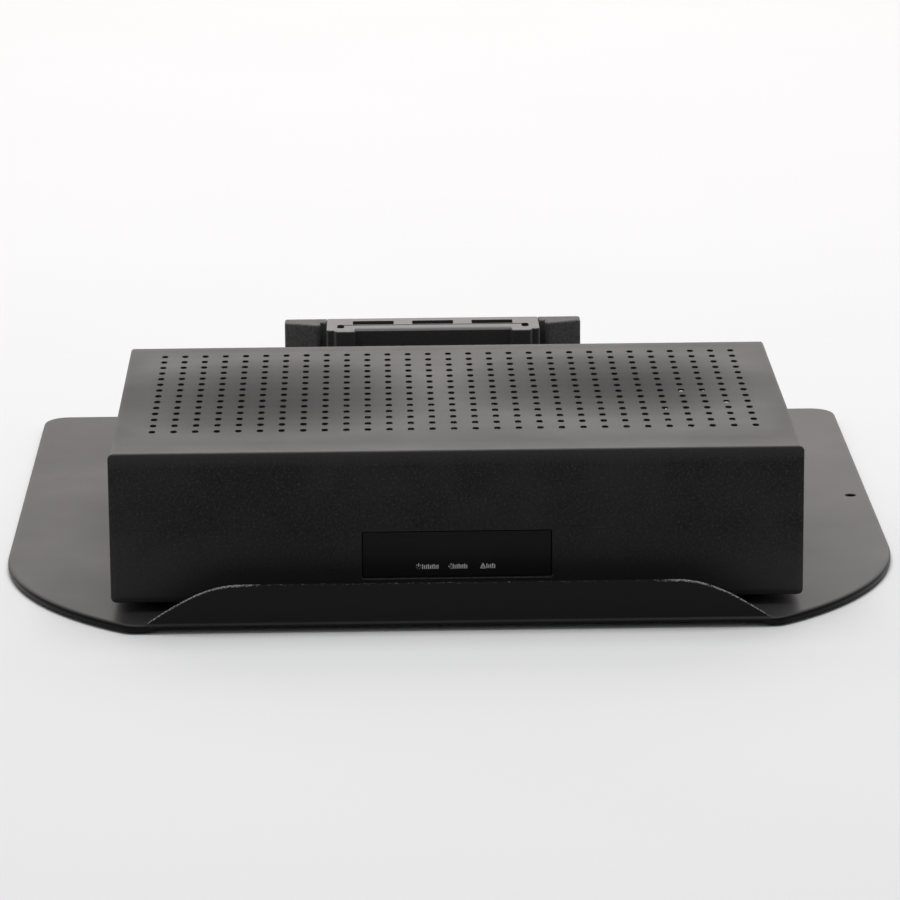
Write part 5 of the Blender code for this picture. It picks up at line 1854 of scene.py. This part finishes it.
# %% Free places on the main board
# (low x, low y, high x, high y) of the places that are taken
taken = [
    (0.006, 0.128, 0.054, 0.175), (-0.06, 0.176, 0.078, 0.199), (0.076, 0.176, 0.1, 0.199),
    (-0.014, 0.071, 0.01, 0.082), (0.102, 0.08, 0.116, 0.102), (0.1, 0.19, 0.152, 0.199),
] + [(x - 0.005, y - 0.005, x + 0.005, y + 0.005) for x, y in main_bosses]
SEED = 11
draw = random.Random(SEED)


def free_places(count, half_x, half_y):
    """Places on the main board for parts of one size. Each one is taken once it is chosen."""
    places = []
    for _ in range(count * 40):
        x = round(draw.uniform(-0.056 + half_x, 0.148 - half_x), 3)
        y = round(draw.uniform(0.074 + half_y, 0.197 - half_y), 3)
        spot = (x - half_x, y - half_y, x + half_x, y + half_y)
        if any(spot[0] < t[2] and t[0] < spot[2] and spot[1] < t[3] and t[1] < spot[3] for t in taken):
            continue
        taken.append(spot)
        places.append(in_case(x, y, BOARD_TOP))
        if len(places) == count:
            break
    return places


print("taken before the draw:", len(taken))

# %% Chips and their legs
# (out from the chip's side, height) down a leg
LEG_STEPS = ((-0.0002, 0.0009), (0.0005, 0.0009), (0.0008, 0.0001), (0.0014, 0.0001))


def chip_legs(half_y, count, pitch):
    """Two rows of gull-wing legs."""
    shapes = []
    steps = [(half_y + out, z) for out, z in LEG_STEPS]
    for side in (-1, 1):
        for i in range(count):
            x = (i - (count - 1) / 2) * pitch
            shapes.append(skinned([
                [(x - 0.0002, side * y, z), (x + 0.0002, side * y, z),
                 (x + 0.0002, side * y, z + 0.00015), (x - 0.0002, side * y, z + 0.00015)]
                for y, z in steps
            ]))
    return merged(*shapes)


# kind: (how many, half width, half depth, height, legs in a row, their pitch)
KINDS = {
    "memory": (6, 0.011, 0.005, 0.0014, 13, 0.0016),
    "driver": (9, 0.005, 0.0032, 0.0016, 7, 0.0013),
    "gate": (12, 0.0025, 0.002, 0.0014, 4, 0.0011),
}
for kind, (count, half_x, half_y, tall, legs, pitch) in KINDS.items():
    places = free_places(count, half_x + 0.0012, half_y + 0.0024)
    body = skinned([
        [(x * s, y * s, z) for x, y in rounded((0, 0), 2 * half_x, 2 * half_y, 0.0002, 2)]
        for z, s in ((0.0002, 0.985), (tall / 2, 1.0), (tall, 0.975))
    ])
    copies(f"{kind}_chips", body, places, chip_resin, "solder_mask", "recorder")
    feet = chip_legs(half_y, legs, pitch)
    copies(f"{kind}_legs", feet, places, nickel, "solder_mask", "recorder")
print("chips:", {kind: row[0] for kind, row in KINDS.items()})

# %% Small capacitors and resistors
can = turned("z", (0, 0), [
    (0.003, 0.0), (0.0032, 0.0006), (0.0029, 0.0011), (0.0032, 0.0016), (0.0032, 0.0068), (0.0028, 0.0072),
], 20)
can_places = free_places(12, 0.0038, 0.0038)
copies("small_capacitors", can, can_places, cast_alloy, "solder_mask", "recorder")
speck_outline = ((-0.001, -0.0006), (0.001, -0.0006), (0.001, 0.0006), (-0.001, 0.0006))
speck = skinned([
    [(x * s, y * s, z) for x, y in speck_outline]
    for z, s in ((0.0, 1.0), (0.0006, 1.0), (0.0007, 0.9))
])
resistor_places = free_places(150, 0.0014, 0.001)
copies("resistors", speck, resistor_places, chip_resin, "solder_mask", "recorder")
print("main board:", len(taken), "places taken")

# %% Heatsink
FINS = 8
SINK_LOW = BOARD_TOP + 2 * GAP + 0.0018
SINK_BASE = 0.003
SINK_TALL = 0.014
SINK_LEFT, SINK_RIGHT = 0.01, 0.05
SINK_FRONT, SINK_REAR = 0.1315, 0.1715
FIN_GROOVE = 0.0034
fin_pitch = (SINK_RIGHT - SINK_LEFT) / FINS
comb = [(SINK_LEFT, SINK_LOW), (SINK_RIGHT, SINK_LOW)]
for i in range(FINS):
    right = SINK_RIGHT - i * fin_pitch - (FIN_GROOVE / 2 if i > 0 else 0.0)
    left = SINK_RIGHT - (i + 1) * fin_pitch + (FIN_GROOVE / 2 if i < FINS - 1 else 0.0)
    comb += [(right, SINK_LOW + SINK_TALL), (left, SINK_LOW + SINK_TALL)]
    if i < FINS - 1:
        comb += [(left, SINK_LOW + SINK_BASE), (left - FIN_GROOVE, SINK_LOW + SINK_BASE)]
comb_outline = [(case_origin.x + x, case_origin.z + z) for x, z in comb]
heatsink = prism(comb_outline, "y", case_origin.y + SINK_FRONT, case_origin.y + SINK_REAR)
piece(
    "finned_heatsink", heatsink, black_anodised, "black_anodised", "recorder", "heatsink",
    edge=(0.00025, 2, 60),
)
print("heatsink:", FINS, "fins")

# %% [markdown]
# ## Power supply parts
#
# The transformer is a taped winding on a core of stacked plates. The reservoir capacitor is a
# sleeved can with a crimp near its foot and a scored top.

# %% Transformer and reservoir capacitor
low = BOARD_TOP + GAP
bobbin_low, bobbin_high = low + 0.0012, low + 0.0208
winding = case_block((-0.1165, 0.1115, bobbin_low), (-0.0915, 0.1325, bobbin_high))
piece("winding", winding, winding_tape, "winding_tape", "recorder", "transformer", edge=(0.0022, 4, 60))
flanges = [
    case_block((-0.118, 0.11, under), (-0.09, 0.134, over))
    for under, over in ((low, bobbin_low), (bobbin_high, low + 0.022))
]
piece("bobbin_flanges", merged(*flanges), chip_resin, "winding_tape", "recorder", edge=(0.0003, 2, 60))
CORE_PLATES, CORE_PLATE, CORE_PITCH = 20, 0.00045, 0.0005
core_plate = block((-0.017, 0.0, 0.0), (0.017, CORE_PLATE, 0.02))
core_spots = [in_case(-0.104, 0.117 + i * CORE_PITCH, low + 0.001) for i in range(CORE_PLATES)]
copies("core_plates", core_plate, core_spots, black_steel, "winding_tape", "recorder")
can_foot = in_case(-0.135, 0.118, low)
can_profile = [
    (0.008, 0.0000), (0.0088, 0.0004), (0.009, 0.001), (0.009, 0.002), (0.0086, 0.0025),
    (0.0086, 0.0029), (0.009, 0.0035), (0.009, 0.029), (0.0087, 0.0298), (0.0078, 0.03),
    (0.0074, 0.0297),
]
reservoir = turned("z", can_foot, [(r, can_foot.z + z) for r, z in can_profile], 40)
piece(
    "reservoir_can", reservoir, capacitor_sleeve, "capacitor_sleeve", "recorder", "reservoir_capacitor"
)
print("power parts:", CORE_PLATES, "plates in the core")

# %% [markdown]
# ## The hard drive
#
# The drive lies on a folded bridge over the boards. Its lid is pressed steel with a raised round
# over the disks. Two disks turn together on a hub, held by a clamp with six screws. The head arm
# pivots on a post beside them; at rest it is parked clear of the disks.

# %% Drive lid
DRIVE_CORNER = Vector((-0.052, 0.024, 0.0365))
DRIVE_SIZE = (0.147, 0.1016, 0.0261)
DISK_R = 0.0475


def in_drive(x, y, z):
    return in_case(*(DRIVE_CORNER + Vector((x, y, z))))


lid_middle = in_drive(DRIVE_SIZE[0] / 2, DRIVE_SIZE[1] / 2, 0)
lid_low = in_drive(0, 0, DRIVE_SIZE[2] - 0.0015 + GAP).z
lid_high = in_drive(0, 0, DRIVE_SIZE[2]).z
lid_outline = rounded((lid_middle.x, lid_middle.y), DRIVE_SIZE[0], DRIVE_SIZE[1], 0.003, 6)
piece(
    "drive_lid_sheet", prism(lid_outline, "z", lid_low, lid_high),
    zinc_steel, "zinc_steel", "recorder", "drive_lid", edge=(0.0003, 2, 60),
)
spindle = in_drive(0.0508, 0.0508, 0)
swell = turned("z", spindle, [
    (DISK_R, lid_high - 0.0002), (DISK_R, lid_high), (DISK_R - 0.0012, lid_high + 0.0005),
    (DISK_R - 0.014, lid_high + 0.0005), (DISK_R - 0.015, lid_high + 0.0002),
], 72)
piece("lid_swell", swell, zinc_steel, "zinc_steel", "recorder")
lid_spots = [in_drive(x, y, DRIVE_SIZE[2]) for x, y in (
    (0.004, 0.004), (0.143, 0.004), (0.004, 0.0976), (0.143, 0.0976), (0.11, 0.004), (0.11, 0.0976),
)]
lid_screw = screw_shape(0.002, 0.0008, 0.0012)
copies("lid_screws", lid_screw, lid_spots, black_steel, "zinc_steel", "recorder")
print("lid done")

# %% Disks
DISK_LEVELS = (0.0085, 0.0125)
DISK_SHEET = 0.0013
disk_low = in_drive(0, 0, 0).z
for count, level in enumerate(DISK_LEVELS):
    under = disk_low + level
    over = under + DISK_SHEET
    disk = turned("z", spindle, [
        (DISK_R - 0.0003, under), (DISK_R, under + 0.0002), (DISK_R, over - 0.0002), (DISK_R - 0.0003, over),
    ], 96)
    nodes = ("drive_disks",) if count == 0 else ()
    piece(f"disk_{count + 1}", disk, disk_mirror, "disk_coating", "disk_stack", *nodes)
hub = turned("z", spindle, [
    (0.015, disk_low + 0.0064), (0.0155, disk_low + 0.0068), (0.0155, disk_low + 0.0142),
    (0.015, disk_low + 0.0146), (0.0125, disk_low + 0.0148), (0.012, disk_low + 0.015),
], 48)
piece("disk_hub", hub, cast_alloy, "disk_coating", "disk_stack")
CLAMP_RING, CLAMP_SCREWS = 0.0095, 6
clamp_spots = [(x, y, disk_low + 0.015) for x, y in circle(spindle, CLAMP_RING, CLAMP_SCREWS)]
clamp_screw = screw_shape(0.0014, 0.0006, 0.001)
copies("clamp_screws", clamp_screw, clamp_spots, black_steel, "disk_coating", "disk_stack")
print("disks:", len(DISK_LEVELS))

# %% Head arm
PARKED = math.radians(118)
arm_pivot = in_drive(0.111, 0.029, 0)


def arm_plate(outline, low_z, high_z):
    """A plate of the arm. `outline` is (along the arm, across it) from the pivot."""
    points = [
        (arm_pivot.x + a * math.cos(PARKED) - b * math.sin(PARKED),
         arm_pivot.y + a * math.sin(PARKED) + b * math.cos(PARKED))
        for a, b in outline
    ]
    return prism(points, "z", disk_low + low_z, disk_low + high_z)


near_side = [(0.002, -0.005), (0.012, -0.0044), (0.035, -0.0026), (0.06, -0.0012)]
arm_outline = near_side + [(a, -b) for a, b in near_side[::-1]]
lightening = [(0.014, -0.0022), (0.032, -0.0012), (0.032, 0.0012), (0.014, 0.0022)]
piece(
    "arm_blade", arm_plate(arm_outline, 0.0155, 0.0171),
    cast_alloy, "cast_alloy", "head_arm", "drive_head_arm",
    cut=[arm_plate(lightening, 0.01, 0.02)], edge=(0.0002, 2, 60),
)
post = turned("z", arm_pivot, [
    (0.0057, disk_low + 0.0066), (0.006, disk_low + 0.0069), (0.006, disk_low + 0.0202),
    (0.0057, disk_low + 0.0205),
], 40)
piece("arm_barrel", post, cast_alloy, "cast_alloy", "head_arm")
coil_outline = [(-0.003, -0.0055), (-0.003, 0.0055), (-0.019, 0.012), (-0.0235, 0.0), (-0.019, -0.012)]
coil = arm_plate(coil_outline, 0.0105, 0.0165)
piece("arm_coil", coil, winding_tape, "cast_alloy", "head_arm", edge=(0.0012, 3, 20))
face_count = sum(len(made.data.polygons) for made in made_pieces)
print("drive done,", len(made_pieces), "pieces;", face_count, "faces")

# %% [markdown]
# ## Camera
#
# The camera stands in front of the object, a little above it, and looks slightly down with a long
# lens, so that upright lines stay nearly parallel. It is rolled by less than half a degree.

# %% Camera
CAMERA_PLACE = Vector((-0.0365, -2.2029, 0.5995))
CAMERA_PITCH = math.radians(14.393)
CAMERA_YAW = math.radians(0.975)
CAMERA_ROLL = math.radians(0.462)
LENS_MM, SENSOR_MM = 184.4, 36.0
SHIFT_X = 0.0021
FAR_LIMIT = 50.0

forward = Vector((
    math.sin(CAMERA_YAW) * math.cos(CAMERA_PITCH),
    math.cos(CAMERA_YAW) * math.cos(CAMERA_PITCH),
    -math.sin(CAMERA_PITCH),
))
level_right = forward.cross(Vector((0, 0, 1))).normalized()
level_up = level_right.cross(forward)
right = level_right * math.cos(CAMERA_ROLL) - level_up * math.sin(CAMERA_ROLL)
up = right.cross(forward)

camera_data = bpy.data.cameras.new("camera")
camera_data.lens = LENS_MM
camera_data.sensor_width = SENSOR_MM
camera_data.shift_x = SHIFT_X
camera_data.clip_end = FAR_LIMIT
camera = bpy.data.objects.new("camera", camera_data)
facing = Matrix((right, up, -forward)).transposed().to_4x4()
camera.matrix_world = Matrix.Translation(CAMERA_PLACE) @ facing
scene.collection.objects.link(camera)
scene.camera = camera
print("camera at", tuple(round(v, 4) for v in CAMERA_PLACE))

# %% [markdown]
# ## Floor and light
#
# A black object is shown by what it reflects. The level faces look pale because they mirror a large
# bright panel behind them at a flat angle, and the upright front stays dark because the room on the
# camera's side is dim. So the main light is a tall soft panel behind the object, and the fill from
# the front is weak.

# %% Floor
floor_coat = Finish("studio floor", (0.8, 0.8, 0.8), 0.9)
floor_coat.set("Specular IOR Level", 0.0)
floor_coat.grain(30.0, 0.02, 0.2).tint(400.0, (0.79, 0.79, 0.79)).drift(300.0, 0.85, 0.95)
FLOOR_REACH = 6.0
floor_shape = bmesh.new()
for x, y in ((-1, -1), (1, -1), (1, 1), (-1, 1)):
    floor_shape.verts.new((x * FLOOR_REACH, y * FLOOR_REACH, 0.0))
floor_shape.faces.new(floor_shape.verts)
floor = bare_object("floor", floor_shape)
floor.data.materials.append(floor_coat.material)
print("floor:", 2 * FLOOR_REACH, "metres square")

# %% Lights


def soft_panel(name, place, target, size, watts, colour=(1.0, 1.0, 1.0)):
    """A rectangular soft light that faces a point."""
    light = bpy.data.lights.new(name, "AREA")
    light.shape = "RECTANGLE"
    light.size, light.size_y = size
    light.energy = watts
    light.color = colour
    panel = bpy.data.objects.new(name, light)
    panel.location = place
    panel.rotation_euler = (Vector(target) - Vector(place)).to_track_quat("-Z", "Y").to_euler()
    scene.collection.objects.link(panel)
    return panel


soft_panel("rear panel", (0.0, 2.6, 1.3), (0, 0, 0.1), (5.0, 2.6), 56.0, (1.0, 0.935, 0.918))
soft_panel("top panel", (0.0, 0.3, 2.6), (0, 0, 0), (2.4, 2.4), 60.0)
soft_panel("front fill", (-0.8, -2.4, 1.8), (0, 0, 0), (1.6, 1.6), 4.0)

world = bpy.data.worlds.new("studio")
world.use_nodes = True
room = world.node_tree.nodes["Background"].inputs
room["Color"].default_value = (0.95, 0.96, 1.0, 1.0)
room["Strength"].default_value = 0.25
scene.world = world
print("lights:", len(bpy.data.lights))

# %% Sizes, and the end
print(len(made_pieces), "pieces made and", len(made_finishes), "finishes")
